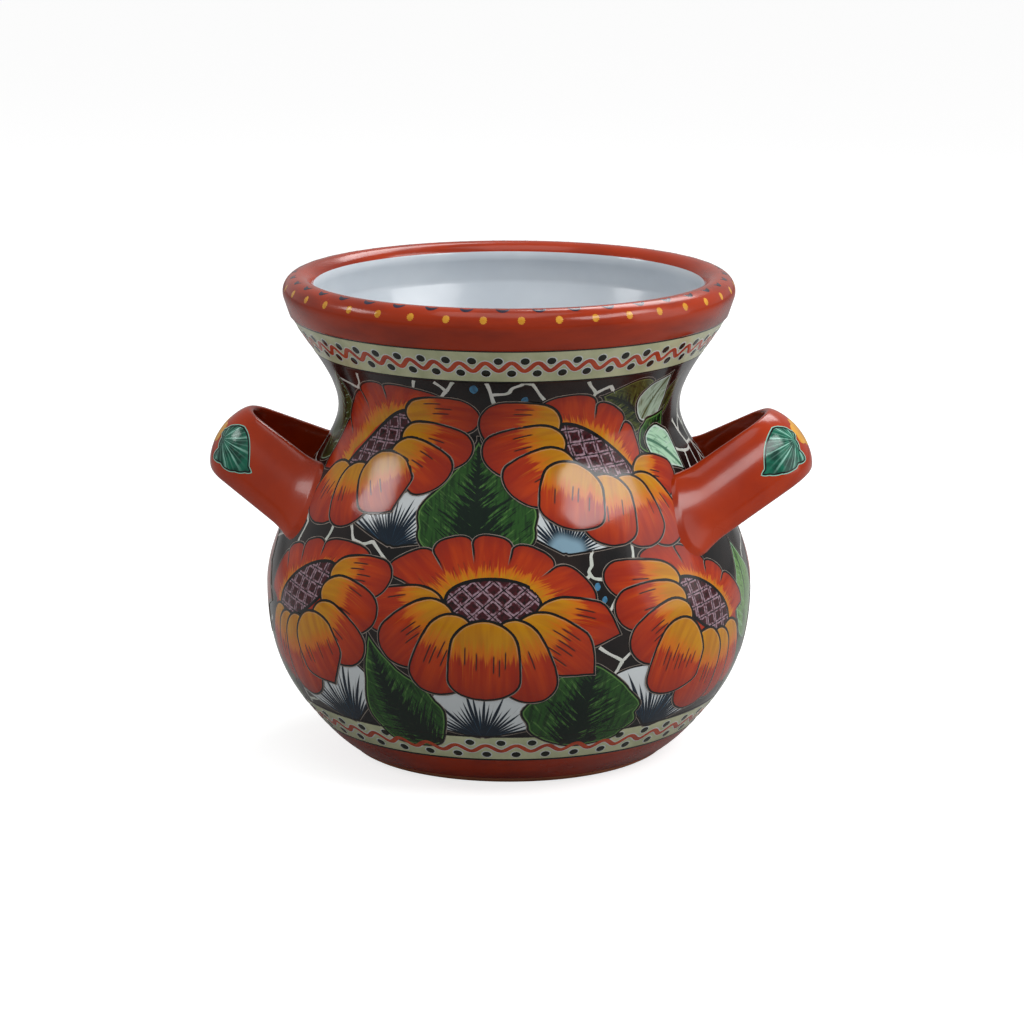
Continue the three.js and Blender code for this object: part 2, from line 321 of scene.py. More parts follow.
@dataclass(frozen=True)
class ThrownForm:
    """The outside and inside of the wall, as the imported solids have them."""

    heights: tuple[float, ...] = (0.0, 25.5, 88.0, 135.0, 182.0, 230.0)
    radii: tuple[float, ...] = (81.5, 107.8, 127.3, 112.8, 89.4, 113.8)
    foot_slope: float = 1.6
    collar_slope: float = 0.56
    wall: float = 7.0
    rim_wall: float = 11.0
    height: float = 250.0
    bead_radius: float = 8.5
    bead_overhang: float = 3.4
    floor_top: float = 11.0
    fillet: float = 6.0
    drain_radius: float = 8.0
    bead_skin: float = 0.1

    def bead_centre(self) -> Numbers:
        """Centre of the rim's round section, as (radius, height)."""
        radius = self.radii[-1] + self.bead_overhang - self.bead_radius
        return np.array([radius, self.height - self.bead_radius])

    def glazed_bead(self) -> float:
        """Radius of the glaze on the rim's round section."""
        return self.bead_radius - self.bead_skin

    def slopes(self) -> Numbers:
        """Growth of the radius per height at each station.

        It is set at the ends and level at belly and neck. Between them it is the slope of the parabola
        through a station and its two neighbours.

        Returns:
            The slopes.
        """
        z, r = np.array(self.heights), np.array(self.radii)
        chord = np.diff(r) / np.diff(z)
        weight = np.diff(z)[:-1] / (z[2:] - z[:-2])
        inner = chord[:-1] + (chord[1:] - chord[:-1]) * weight
        slopes = np.concatenate([[self.foot_slope], inner, [self.collar_slope]])
        slopes[[2, 4]] = 0.0
        return slopes

    def radius(self, z: Numbers | float) -> Numbers:
        """Outside radius at a height."""
        return self.cubic(z)[0]

    def cubic(self, z: Numbers | float) -> tuple[Numbers, Numbers]:
        """The outside at a height, by the cubic between the two stations round it.

        Args:
            z: the height.

        Returns:
            The radius, and its growth per height.
        """
        z = np.asarray(z, float)
        station, r, slopes = np.array(self.heights), np.array(self.radii), self.slopes()
        i = np.clip(np.searchsorted(station, z) - 1, 0, len(station) - 2)
        span = station[i + 1] - station[i]
        t = (z - station[i]) / span
        rise, start, end = r[i + 1] - r[i], slopes[i] * span, slopes[i + 1] * span
        square, cube = 3 * rise - 2 * start - end, start + end - 2 * rise
        radius = r[i] + start * t + square * t**2 + cube * t**3
        return radius, (start + 2 * square * t + 3 * cube * t**2) / span

    def stepped_in(self, z: Numbers | float, depth: Numbers | float) -> Numbers:
        """Points under the outside, along its normal.

        Args:
            z: height on the outside.
            depth: how far under it.

        Returns:
            Points of (radius, height).
        """
        r, slope = self.cubic(z)
        step = depth / np.hypot(1, slope)
        return as_points(r - step, z + step * slope)

    def inside(self, z: Numbers) -> Numbers:
        """The inside at a height. The wall grows with the square of the way from the neck to the collar.

        Args:
            z: the height.

        Returns:
            The inner radius.
        """
        outer = np.linspace(0, self.heights[-1], 1200)
        share = np.clip((outer - self.heights[4]) / (self.heights[5] - self.heights[4]), 0, 1)
        points = self.stepped_in(outer, self.wall + (self.rim_wall - self.wall) * share**2)
        return np.interp(z, points[:, 1], points[:, 0])

    def lengths(self) -> tuple[Numbers, Numbers]:
        """The wall's length, as the sum of short straight steps.

        Returns:
            Heights up the outside, and the length of wall from the foot to each.
        """
        z = np.linspace(0, self.heights[-1], 2301)
        steps = np.hypot(np.diff(self.radius(z)), np.diff(z))
        return z, np.concatenate([[0], np.cumsum(steps)])

    def length_at(self, z: Numbers | float) -> Numbers:
        """Length of wall from the foot to a height."""
        return np.interp(z, *self.lengths())

    def height_at(self, length: Numbers) -> Numbers:
        """Height at a length of wall from the foot."""
        return np.interp(length, *self.lengths()[::-1])


FORM = ThrownForm()


def on_wall(azimuth: Numbers, length: Numbers, lift: Numbers | float) -> Numbers:
    """Points over the bare ground: each is moved out from it along the wall's normal by the lift.

    Args:
        azimuth: degrees from the front towards the right handle.
        length: wall from the foot upwards.
        lift: height over the ground.

    Returns:
        Points, with 3 as their last size.
    """
    z = FORM.height_at(length)
    r, slope = FORM.cubic(z)
    step = (lift - COAT_DEPTH) / np.hypot(1, slope)
    return round_axis(r + step, np.radians(azimuth), z - step * slope)


@dataclass(frozen=True)
class WallSpot:
    """A place on the wall, round which a motif is drawn in millimetres: x to the right and y upwards."""

    azimuth: float
    height: float

    def place(self, x: Numbers, y: Numbers, lift: Numbers | float) -> Numbers:
        """Points of the motif on the wall: y is laid along the wall, and x round it at the radius there.

        Args:
            x: places to the right.
            y: places upwards.
            lift: height over the ground.

        Returns:
            Points, with 3 as their last size.
        """
        length = FORM.length_at(self.height) + y
        radius = FORM.radius(FORM.height_at(length))
        return on_wall(self.azimuth + np.degrees(x / radius), length, lift)

    def to(self, azimuth: float, height: float) -> tuple[float, float]:
        """Where another place lies, seen from this one, in millimetres."""
        x = math.radians(azimuth - self.azimuth) * float(FORM.radius(height))
        return x, float(FORM.length_at(height) - FORM.length_at(self.height))


# Finishes


class Value:
    """A number or colour that a finish works out at each point, and the sums that it can be put in."""

    def __init__(self, recipe: Recipe, socket: bpy.types.NodeSocket) -> None:
        """What comes out of one of the recipe's nodes."""
        self.recipe, self.socket = recipe, socket

    def __add__(self, other: Operand) -> Value:
        """This value and another."""
        return self.recipe.maths("ADD", self, other)

    def __sub__(self, other: Operand) -> Value:
        """This value less another."""
        return self.recipe.maths("SUBTRACT", self, other)

    def __rsub__(self, other: float) -> Value:
        """A number less this value."""
        return self.recipe.maths("SUBTRACT", other, self)

    def __mul__(self, other: Operand) -> Value:
        """This value times another."""
        return self.recipe.maths("MULTIPLY", self, other)

    def __truediv__(self, other: Operand) -> Value:
        """This value over another."""
        return self.recipe.maths("DIVIDE", self, other)

    def __abs__(self) -> Value:
        """This value without its sign."""
        return self.recipe.maths("ABSOLUTE", self)

    def step(self) -> Value:
        """The whole number below it, which tells one step of a pattern from the next."""
        return self.recipe.maths("FLOOR", self)

    def beside(self) -> Value:
        """How far it is from the middle of its step."""
        return abs(self.recipe.maths("FRACT", self) - 0.5)

    def chance(self) -> Value:
        """One random number from 0 to 1 for each value."""
        return self.recipe.node("TexWhiteNoise", "Value", {"W": self}, noise_dimensions="1D")

    def rise(self, low: float, high: float) -> Value:
        """A smooth step from 0 at low to 1 at high."""
        ends = {"Value": self, "From Min": low, "From Max": high}
        return self.recipe.node("MapRange", "Result", ends, interpolation_type="SMOOTHSTEP")

    def band(self, low: float, high: float, soft: float) -> Value:
        """1 between two values and 0 outside them, with soft ends."""
        return self.rise(low - soft, low + soft) * self.rise(high + soft, high - soft)


Operand = Value | Hue | float | tuple[float, ...]
Layer = tuple[Value, Value | Hue]


class Recipe:
    """The nodes of one finish, added in the order that they are mixed."""

    def __init__(self, name: str) -> None:
        """Starts a finish with a plain glossy shader.

        Args:
            name: its name.
        """
        self.material = bpy.data.materials.new(name)
        self.material.use_nodes = True
        self.tree = self.material.node_tree
        self.shader = next(node for node in self.tree.nodes if node.type == "BSDF_PRINCIPLED")
        self.place = self.node("TexCoord", "Object", {})

    def feed(self, socket: bpy.types.NodeSocket, operand: Operand) -> None:
        """Joins a socket to a value, or sets it.

        Args:
            socket: the socket of a node.
            operand: the value, or a colour, number or vector.
        """
        if isinstance(operand, Value):
            self.tree.links.new(operand.socket, socket)
        else:
            socket.default_value = operand.linear() if isinstance(operand, Hue) else operand

    def node(self, kind: str, result: str | int, inputs: dict[str | int, Operand], **options: str) -> Value:
        """Adds a node.

        Args:
            kind: the kind of node.
            result: the output that is wanted.
            inputs: what goes into its sockets.
            options: its options by name.

        Returns:
            The output.
        """
        node = self.tree.nodes.new(f"ShaderNode{kind}")
        for name, option in options.items():
            setattr(node, name, option)
        for name, operand in inputs.items():
            self.feed(node.inputs[name], operand)
        return Value(self, node.outputs[result])

    def painted(self, *names: str) -> list[Value]:
        """Values painted on the points."""
        return [self.node("Attribute", "Fac", {}, attribute_name=name) for name in names]

    def maths(self, operation: str, *operands: Operand) -> Value:
        """The result of a sum on values or numbers."""
        return self.node("Math", 0, dict(enumerate(operands)), operation=operation)

    def vector(self, x: Operand, y: Operand, z: Operand) -> Value:
        """Three values as a vector."""
        return self.node("CombineXYZ", 0, {0: x, 1: y, 2: z})

    def noise(self, where: Value, scale: float, detail: float = 2.0, rough: float = 0.5) -> Value:
        """Smooth noise from 0 to 1."""
        settings = {"Vector": where, "Scale": scale, "Detail": detail, "Roughness": rough}
        return self.node("TexNoise", "Fac", settings)

    def layered(self, colour: Value | Hue, *layers: Layer) -> Value:
        """A colour with others laid over it in turn.

        Args:
            colour: the lowest colour.
            layers: for each layer its share, from 0 to 1, and its colour.

        Returns:
            The mixed colour.
        """
        for share, over in layers:
            colour = self.node("Mix", 2, {0: share, 6: colour, 7: over}, data_type="RGBA")
        return colour

    def hand_drawn(self) -> Value:
        """Distance from a coat's outline, as an unsteady hand would follow it: noise shifts it a little."""
        wobble = self.noise(self.place, 160.0, 1.0) - 0.5
        return self.painted("edge")[0] + wobble * 0.7

    def outlined(self, colour: Value, edge: Value, pale_from: float) -> Value:
        """Draws a dark outline with a thin pale line outside it.

        Args:
            colour: what lies under the lines.
            edge: distance from the outline.
            pale_from: how far along the coat the pale line begins.

        Returns:
            The colour with the lines on it.
        """
        along, ink = self.painted("along", "ink")
        dark = edge.rise(1.5, 1.15) * ink
        pale = edge.rise(0.42, 0.25) * (along.rise(pale_from, pale_from + 0.15) * ink)
        return self.layered(colour, (dark, Hue.INK), (pale * 0.45, Hue.PALE_LINE))

    def fired(self, colour: Value, gloss: Gloss) -> bpy.types.Material:
        """Gives the finish its colour, shine and surface.

        Args:
            colour: the base colour.
            gloss: how the surface shines.

        Returns:
            The finished material.
        """
        patches = {
            "Value": self.noise(self.place, gloss.cloud_scale, 3.0),
            "From Min": 0.3,
            "From Max": 0.7,
            "To Min": gloss.roughness - gloss.spread,
            "To Max": gloss.roughness + gloss.spread,
        }
        ripple = self.noise(self.place, gloss.ripple_scale, 1.5, 0.4)
        grain = self.noise(self.place, gloss.grain_scale)
        waved = {"Strength": gloss.ripple, "Distance": gloss.ripple_depth, "Height": ripple}
        grained = {"Strength": gloss.grain, "Distance": gloss.grain_depth, "Height": grain}
        normal = self.node("Bump", "Normal", {**grained, "Normal": self.node("Bump", "Normal", waved)})
        rough = self.node("MapRange", "Result", patches)
        self.shade({"Base Color": colour, "Roughness": rough, "Normal": normal, "IOR": gloss.refraction})
        return self.shade({"Coat Weight": gloss.coat, "Coat Roughness": gloss.coat_roughness})

    def shade(self, sockets: dict[str, Operand]) -> bpy.types.Material:
        """Feeds the shader's own sockets, and gives the material."""
        for name, operand in sockets.items():
            self.feed(self.shader.inputs[name], operand)
        return self.material


@dataclass(frozen=True)
class Gloss:
    """How a fired surface shines: its roughness and how far that wanders, and its ripples and grain."""

    roughness: float = 0.17
    spread: float = 0.08
    coat: float = 0.12
    cloud_scale: float = 30.0
    ripple: float = 0.22
    ripple_scale: float = 55.0
    grain: float = 0.12
    grain_scale: float = 1400.0
    ripple_depth: float = 0.0012  # metres, as in the next
    grain_depth: float = 0.0002
    refraction: float = 1.36
    coat_roughness: float = 0.05


CLEAR_GLAZE = Gloss()
SMOOTH_GLAZE = Gloss(roughness=0.2, ripple=0.14, ripple_scale=26.0, grain=0.05)
BARE_CLAY = Gloss(roughness=0.86, spread=0.06, coat=0.0, ripple=0.3, grain=0.8, grain_scale=900.0)


@dataclass(frozen=True)
class PetalGlaze:
    """Petals: gold at the base, brushed in flames into orange, then brick at the rim, with dark strokes.

    Along runs from 0 at a petal's base to 1 at its tip, and across is in millimetres from its middle line.
    The gold ends where along passes the petal's reach, moved by noise that is fine across and long along it.
    """

    name: str = "petal_glaze"
    stroke_step: float = 2.9
    stroke_wander: float = 0.14

    def mixed(self) -> bpy.types.Material:
        """Mixes the finish.

        Returns:
            The petals' material.
        """
        recipe = Recipe(self.name)
        along, across, seed, ink = recipe.painted("along", "across", "seed", "ink")
        reach, rays, side, strokes = recipe.painted("reach", "rays", "side", "strokes")
        edge = recipe.hand_drawn()
        fine, broad, streak = (
            recipe.noise(recipe.vector(across * finer, along, seed), 1.0, detail, rough)
            for finer, detail, rough in ((0.95, 3.0, 0.6), (0.25, 2.0, 0.5), (1.3, 2.0, 0.6))
        )
        past = along + (fine - 0.5) * rays - reach
        gold = recipe.layered(
            Hue.GOLD, (broad.rise(0.35, 0.7), Hue.OCHRE), (past.rise(-0.22, -0.02), Hue.FLAME)
        )
        orange = recipe.layered(
            Hue.PETAL_ORANGE,
            (broad.rise(0.3, 0.7), Hue.PETAL_RED),
            (streak.rise(0.56, 0.7) * past.rise(0.4, 0.0) * 0.55, Hue.FLAME),
        )
        far = along + (broad - 0.5) * 0.4
        rim = edge.rise(6.5, 1.0) * along.rise(0.35, 0.75)
        spaced = across / self.stroke_step + seed
        from_start = along - reach - spaced.step().chance() * self.stroke_wander
        kept = (spaced.step() + 7.3).chance().rise(0.42, 0.43) * side.rise(0.7, 0.6)
        stroke = from_start.band(-0.12, 0.09, 0.02) * spaced.beside().rise(0.16, 0.1) * kept
        dome = edge.band(1.5, 1.85, 0.15) * ink * along.rise(0.55, 0.35)
        colour = recipe.layered(
            gold,
            (past.rise(-0.03, 0.06), orange),
            (far.rise(0.6, 1.02) * 0.5, Hue.PETAL_EDGE),
            (rim * 0.3, Hue.PETAL_EDGE),
            (stroke * strokes, Hue.STROKE),
            (dome * 0.3, Hue.PALE_LINE),
        )
        return recipe.fired(recipe.outlined(colour, edge, 0.42), CLEAR_GLAZE)


@dataclass(frozen=True)
class DiscGlaze:
    """Flower's disc: maroon diamonds in a pale lattice with dark lines in it.

    The lattice has two sets of slanted lines, and a point's place in it is the least distance to either.
    """

    name: str = "disc_glaze"
    step: float = 10.4  # from one line to the next, level
    slant: float = 1.15

    def mixed(self) -> bpy.types.Material:
        """Mixes the finish.

        Returns:
            The disc's material.
        """
        recipe = Recipe(self.name)
        across, upward = recipe.painted("disc_x", "disc_y")
        to_line = self.step * 0.66
        near = [
            (0.5 - ((across + upward * slant) / self.step).beside()) * to_line
            for slant in (self.slant, -self.slant)
        ]
        gap = recipe.maths("MINIMUM", *near) + (recipe.noise(recipe.place, 420.0) - 0.5) * 0.9
        mottle = recipe.noise(recipe.place, 700.0, 3.0)
        colour = recipe.layered(
            recipe.layered(Hue.MAROON, (mottle.rise(0.35, 0.75), Hue.INK)),
            (gap.rise(1.35, 1.05), recipe.layered(Hue.LATTICE, (mottle.rise(0.6, 0.3), Hue.MAROON))),
            (gap.rise(0.36, 0.2), Hue.INK),
            (recipe.hand_drawn().rise(1.9, 1.5), Hue.INK),
        )
        return recipe.fired(colour, CLEAR_GLAZE)


@dataclass(frozen=True)
class LeafGlaze:
    """Leaf: a dark heart, brushed strokes that slant out from the middle line, and a light edge.

    A stroke keeps one value of the way up the leaf less 0.8 of the distance from the middle line, so that it
    slants like a vein.
    """

    name: str
    body: Hue
    deep: Hue
    light: Hue
    heart: float = 0.55  # how far the dark reaches from the middle line, as a share of the half width
    streaks: float = 0.5  # how strong the light strokes are

    def mixed(self) -> bpy.types.Material:
        """Mixes the finish.

        Returns:
            The leaf's material.
        """
        recipe = Recipe(self.name)
        along, across, seed = recipe.painted("along", "across", "seed")
        upward, side = recipe.painted("upward", "side")
        edge = recipe.hand_drawn()
        off = abs(across)
        slant = upward - off * 0.8
        fine = recipe.noise(recipe.vector(slant * 0.55, across * 0.09, seed), 1.0, 3.0, 0.65)
        broad = recipe.noise(recipe.vector(slant * 0.16, seed, off), 0.6)
        spread = side + (fine - 0.5) * 2.2
        left = self.heart - along * (self.heart * 0.85)
        dark = recipe.maths("MAXIMUM", (spread - left).rise(0.1, -0.06), off.rise(1.1, 0.6))
        colour = recipe.layered(
            self.body,
            (fine.rise(0.56, 0.68) * self.streaks, self.light),
            (broad.rise(0.55, 0.35) * 0.55, self.deep),
            (dark * 0.94, self.deep),
            (fine.rise(0.42, 0.34) * edge.rise(2.0, 4.0) * 0.8, self.deep),
            (edge.band(1.5, 2.1, 0.2) * 0.7, self.light),
        )
        return recipe.fired(recipe.outlined(colour, edge, -0.5), CLEAR_GLAZE)


@dataclass(frozen=True)
class TuftGlaze:
    """Tuft: white, with dark spikes that spread from its root.

    A spike is dark out to a reach that differs from one angle to the next, and thins towards its end.
    """

    name: str = "tuft_glaze"
    spikes: float = 9.5  # in each radian
    threads: float = 26.0

    def mixed(self) -> bpy.types.Material:
        """Mixes the finish.

        Returns:
            The tuft's material.
        """
        recipe = Recipe(self.name)
        angle, reach, seed, heart = recipe.painted("angle", "along", "seed", "heart")
        spaced = angle * self.spikes + seed
        length = spaced.step().chance() * 0.4 + 0.58
        spike = ((1.0 - reach / length) * 1.05 - spaced.beside()).rise(-0.04, 0.06)
        fine = recipe.noise(recipe.vector(angle * self.threads, reach, seed), 1.0)
        colour = recipe.layered(
            Hue.TUFT,
            (spike, Hue.TUFT_DEEP),
            (fine.rise(0.62, 0.7) * reach.rise(0.85, 0.5) * 0.6, Hue.TUFT_DEEP),
            (reach.rise(0.42, 0.25) * heart, Hue.BLUE_LIGHT),
            (fine.rise(0.4, 0.3) * reach.rise(0.75, 0.3) * 0.35, Hue.BLUE),
        )
        return recipe.fired(recipe.outlined(colour, recipe.hand_drawn(), -0.5), CLEAR_GLAZE)


@dataclass(frozen=True)
class VeinGlaze:
    """Leaf of the handles: teal, with pale veins that spread from its stem and thin out on their way.

    A vein lies where the bearing from the stem, times a number of veins, is near the middle of a step.
    """

    name: str = "teal_glaze"
    veins: tuple[tuple[float, ...], ...] = ((1.9, 0.045, 0.95), (5.3, 0.1, 0.3))  # number, width, strength

    def mixed(self) -> bpy.types.Material:
        """Mixes the finish.

        Returns:
            The handle leaf's material.
        """
        recipe = Recipe(self.name)
        bearing, reach, edge = recipe.painted("angle", "along", "edge")
        mottle = recipe.noise(recipe.place, 190.0, 3.0)
        uneven = (mottle - 0.5) * 0.2
        colour = recipe.layered(Hue.TEAL, (mottle.rise(0.35, 0.65), Hue.TEAL_DEEP))
        for number, wide, strength in self.veins:
            line = ((bearing * number).beside() + uneven).rise(wide * 2, wide * 0.5)
            colour = recipe.layered(colour, (line * reach.rise(1.0, 0.25) * strength, Hue.TEAL_LIGHT))
        outline = (edge.rise(1.4, 1.1), Hue.INK)
        return recipe.fired(
            recipe.layered(colour, outline, (edge.rise(0.5, 0.35), Hue.TEAL_LIGHT)), CLEAR_GLAZE
        )


@dataclass(frozen=True)
class BrushedGlaze:
    """One glaze laid on with a broad brush: two tones that drift into each other, and fine specks."""

    name: str
    light: Hue
    deep: Hue
    scale: float = 30.0
    depth: float = 0.7
    specks: float = 0.15
    gloss: Gloss = CLEAR_GLAZE
    stretch: tuple[float, float, float] = (1.0, 1.0, 1.0)

    def mixed(self) -> bpy.types.Material:
        """Mixes the finish.

        Returns:
            The glaze's material.
        """
        recipe = Recipe(self.name)
        brushed = recipe.node("Mapping", "Vector", {"Scale": self.stretch, "Vector": recipe.place})
        tone = recipe.noise(brushed, self.scale, 4.0, 0.55).rise(0.36, 0.7) * self.depth
        speck = recipe.noise(recipe.place, 900.0).rise(0.66, 0.74) * self.specks
        return recipe.fired(recipe.layered(self.light, (tone, self.deep), (speck, self.deep)), self.gloss)


GLAZES = (
    PetalGlaze(),
    DiscGlaze(),
    TuftGlaze(),
    LeafGlaze("leaf_glaze", Hue.LEAF, Hue.LEAF_DEEP, Hue.LEAF_LIGHT),
    LeafGlaze("olive_glaze", Hue.OLIVE, Hue.LEAF_DEEP, Hue.GREY_GREEN, -0.2, 1.0),
    LeafGlaze("bright_glaze", Hue.LEAF_LIGHT, Hue.LEAF, Hue.MINT, -0.3, 0.4),
    LeafGlaze("mint_glaze", Hue.MINT, Hue.MINT_DEEP, Hue.TUFT, -0.4, 0.6),
    LeafGlaze("brushed_glaze", Hue.GREY_GREEN, Hue.OLIVE, Hue.TUFT, -0.3, 0.5),
    LeafGlaze("moss_glaze", Hue.OLIVE, Hue.LEAF_DEEP, Hue.MOSS_LIGHT, 0.2, 0.8),
    VeinGlaze(),
    BrushedGlaze("orange_glaze", Hue.ORANGE, Hue.BRICK, 22.0, gloss=SMOOTH_GLAZE),
    BrushedGlaze("rust_glaze", Hue.RUST, Hue.RUST_DEEP, 20.0, gloss=SMOOTH_GLAZE, stretch=(1, 1, 4)),
    BrushedGlaze("black_ground", Hue.GROUND, Hue.GROUND_BROWN, 45.0),
    BrushedGlaze("sage_glaze", Hue.SAGE, Hue.SAGE_DEEP, 70.0, specks=0.3),
    BrushedGlaze("crackle_line", Hue.CRACKLE, Hue.GREY_GREEN, 90.0, 0.4),
    BrushedGlaze("wave_line", Hue.WAVE, Hue.PETAL_EDGE, 110.0, 0.6),
    BrushedGlaze("dark_dot", Hue.DOT, Hue.INK, 200.0),
    BrushedGlaze("pale_halo", Hue.TUFT, Hue.SAGE, 120.0, 0.5),
    BrushedGlaze("ink_line", Hue.INK, Hue.GROUND_BROWN, 120.0),
    BrushedGlaze("yellow_dot", Hue.YELLOW_DOT, Hue.OCHRE, 180.0, 0.5),
    BrushedGlaze("navy_stroke", Hue.NAVY, Hue.INK, 140.0, 0.6),
    BrushedGlaze("blue_dab", Hue.BLUE, Hue.TUFT_DEEP, 260.0, 0.6),
    BrushedGlaze("white_glaze", Hue.WHITE_GLAZE, Hue.WHITE_SHADE, 14.0, 0.6, 0.1, SMOOTH_GLAZE),
    BrushedGlaze("bare_clay", Hue.CLAY, Hue.CLAY_DEEP, specks=0.5, gloss=BARE_CLAY),
)


# Coats of paint


def eased(count: int) -> Numbers:
    """Shares from 0 to 1 that lie closer at both ends."""
    return (1 - np.cos(np.pi * np.linspace(0, 1, count))) / 2


def followed(corners: Numbers, at: Numbers) -> Numbers:
    """Points on a line of straight stretches: at 0 is its first corner, 1 its second, and so on."""
    return as_points(*(np.interp(at, np.arange(len(corners)), axis) for axis in corners.T))


def square_to(ahead: Numbers) -> Numbers:
    """Directions a quarter turn to the left of others, n by 2, each of length 1."""
    return as_points(-ahead[:, 1], ahead[:, 0]) / np.maximum(np.hypot(*ahead.T), 1e-9)[:, None]


def fan(share: Numbers, radius: Numbers | float, angle: Numbers) -> tuple[Numbers, Numbers]:
    """x and y of points at shares of a radius in each direction."""
    return share * radius * np.cos(angle), share * radius * np.sin(angle)


def coat(spot: WallSpot, x: Numbers, y: Numbers, lift: float, values: dict[str, Numbers]) -> Surface:
    """A coat of glaze on the wall, over a grid of the motif's points.

    Its face rises from the outline by an exponential to an even height, so that its edge is soft. A low coat
    rises by a third of its lift, so that the next one lies wholly over it.

    Args:
        spot: where the motif lies.
        x: the points' places to the right.
        y: the points' places upwards.
        lift: height of the coat's outline over the ground.
        values: what is painted on the points, each as a grid or one number.

    Returns:
        The closed coat, with its distance from the outline painted on it as edge.
    """
    flat = as_points(x, y)
    edge = distance_to(border_of(flat), flat.reshape(-1, 2)).reshape(x.shape)
    front = spot.place(x, y, lift + min(COAT_RISE, lift / 3) * (1 - np.exp(-edge / EDGE_SOFTNESS)))
    painted = {name: np.broadcast_to(value, x.shape) for name, value in values.items()}
    return slab(front, spot.place(x, y, COAT_BACK), {**painted, "edge": edge})


@dataclass(frozen=True)
class Patch:
    """Points of a petal or leaf in its motif's millimetres, on a grid with rows along it."""

    x: Numbers
    y: Numbers
    along: Numbers  # from 0 at the base to 1 at the tip
    side: Numbers  # from -1 at one side to 1 at the other
    length: float

    def coat(
        self, spot: WallSpot, lift: float, seed: float, ink: tuple[float, float] | float = 1.0, **more: float
    ) -> Surface:
        """A coat whose points know their place in it, for the brushwork.

        Args:
            spot: where its motif lies.
            lift: height of its outline over the ground.
            seed: tells its brushwork from that of others.
            ink: strength of its outline, or the shares along between which it comes in.
            more: further values, the same all over it.

        Returns:
            The closed coat.
        """
        half = np.hypot(self.x - self.x[:, :1], self.y - self.y[:, :1])[:, -1:] / 2
        values = {"along": self.along, "across": self.side * half, "side": np.abs(self.side), "seed": seed}
        values["upward"] = self.along * self.length
        values["ink"] = ink if np.isscalar(ink) else np.interp(self.along, ink, (0.0, 1.0))
        return coat(spot, self.x, self.y, lift, {**values, **more})


@dataclass(frozen=True)
class Blade:
    """A petal or leaf in a motif's own millimetres, from its base to its tip.

    Its middle line is a parabola through the base, the middle moved sideways by the bend, and the tip. Its
    half width grows from the base share to 1 at the widest place and falls to the tip share, times a quarter
    ellipse at each end. A pointed end has a straight taper instead. Lobes are ripples of the width.
    """

    base: tuple[float, float]
    tip: tuple[float, float]
    width: float
    bend: float = 0.0
    widest: float = 0.6
    base_share: float = 0.8
    tip_share: float = 0.8
    base_round: float = 0.3
    tip_round: float = 0.3
    pointed: bool = False
    lobes: int = 0
    lobe_depth: float = 0.0

    def patch(self, rows: int = 0, columns: int = 0) -> Patch:
        """Points of the blade on a grid.

        Args:
            rows: points along the middle line, closer at the ends, or 0 for about one in 1.5 mm.
            columns: points across, closer at the sides, or 0 for about one in 1.7 mm.

        Returns:
            The grid.
        """
        start, end = np.array(self.base), np.array(self.tip)
        length = float(np.hypot(*(end - start)))
        t = eased(rows or int(np.clip(length / 1.5, 16, 40)))
        u = np.sin(np.pi / 2 * np.linspace(-1, 1, columns or int(np.clip(self.width / 1.7, 9, 27))))
        side = np.array([start[1] - end[1], end[0] - start[0]]) / length
        control = (start + end) / 2 + 2 * self.bend * side
        line = np.outer((1 - t) ** 2, start) + np.outer(2 * t * (1 - t), control) + np.outer(t**2, end)
        normal = square_to(np.outer(1 - t, control - start) + np.outer(t, end - control))
        grown = np.sin(np.pi / 2 * t / self.widest)
        fallen = np.cos(np.pi / 2 * (t - self.widest) / (1 - self.widest))
        before = self.base_share + (1 - self.base_share) * grown
        swell = np.where(t < self.widest, before, self.tip_share + (1 - self.tip_share) * fallen)
        foot = np.sqrt(1 - (1 - np.minimum(t / self.base_round, 1)) ** 2)
        left = 1 - np.minimum((1 - t) / self.tip_round, 1)
        head = (1 - left**1.6) if self.pointed else np.sqrt(1 - left**2)
        ripple = 1 + self.lobe_depth * (np.abs(np.sin(np.pi * self.lobes * t)) - 0.5)
        across = (self.width / 2 * np.maximum(swell * foot * head * ripple, 0.035))[:, None] * u
        x, y = (line[:, c : c + 1] + normal[:, c : c + 1] * across for c in (0, 1))
        return Patch(x, y, t[:, None] + 0 * u, u + 0 * t[:, None], length)


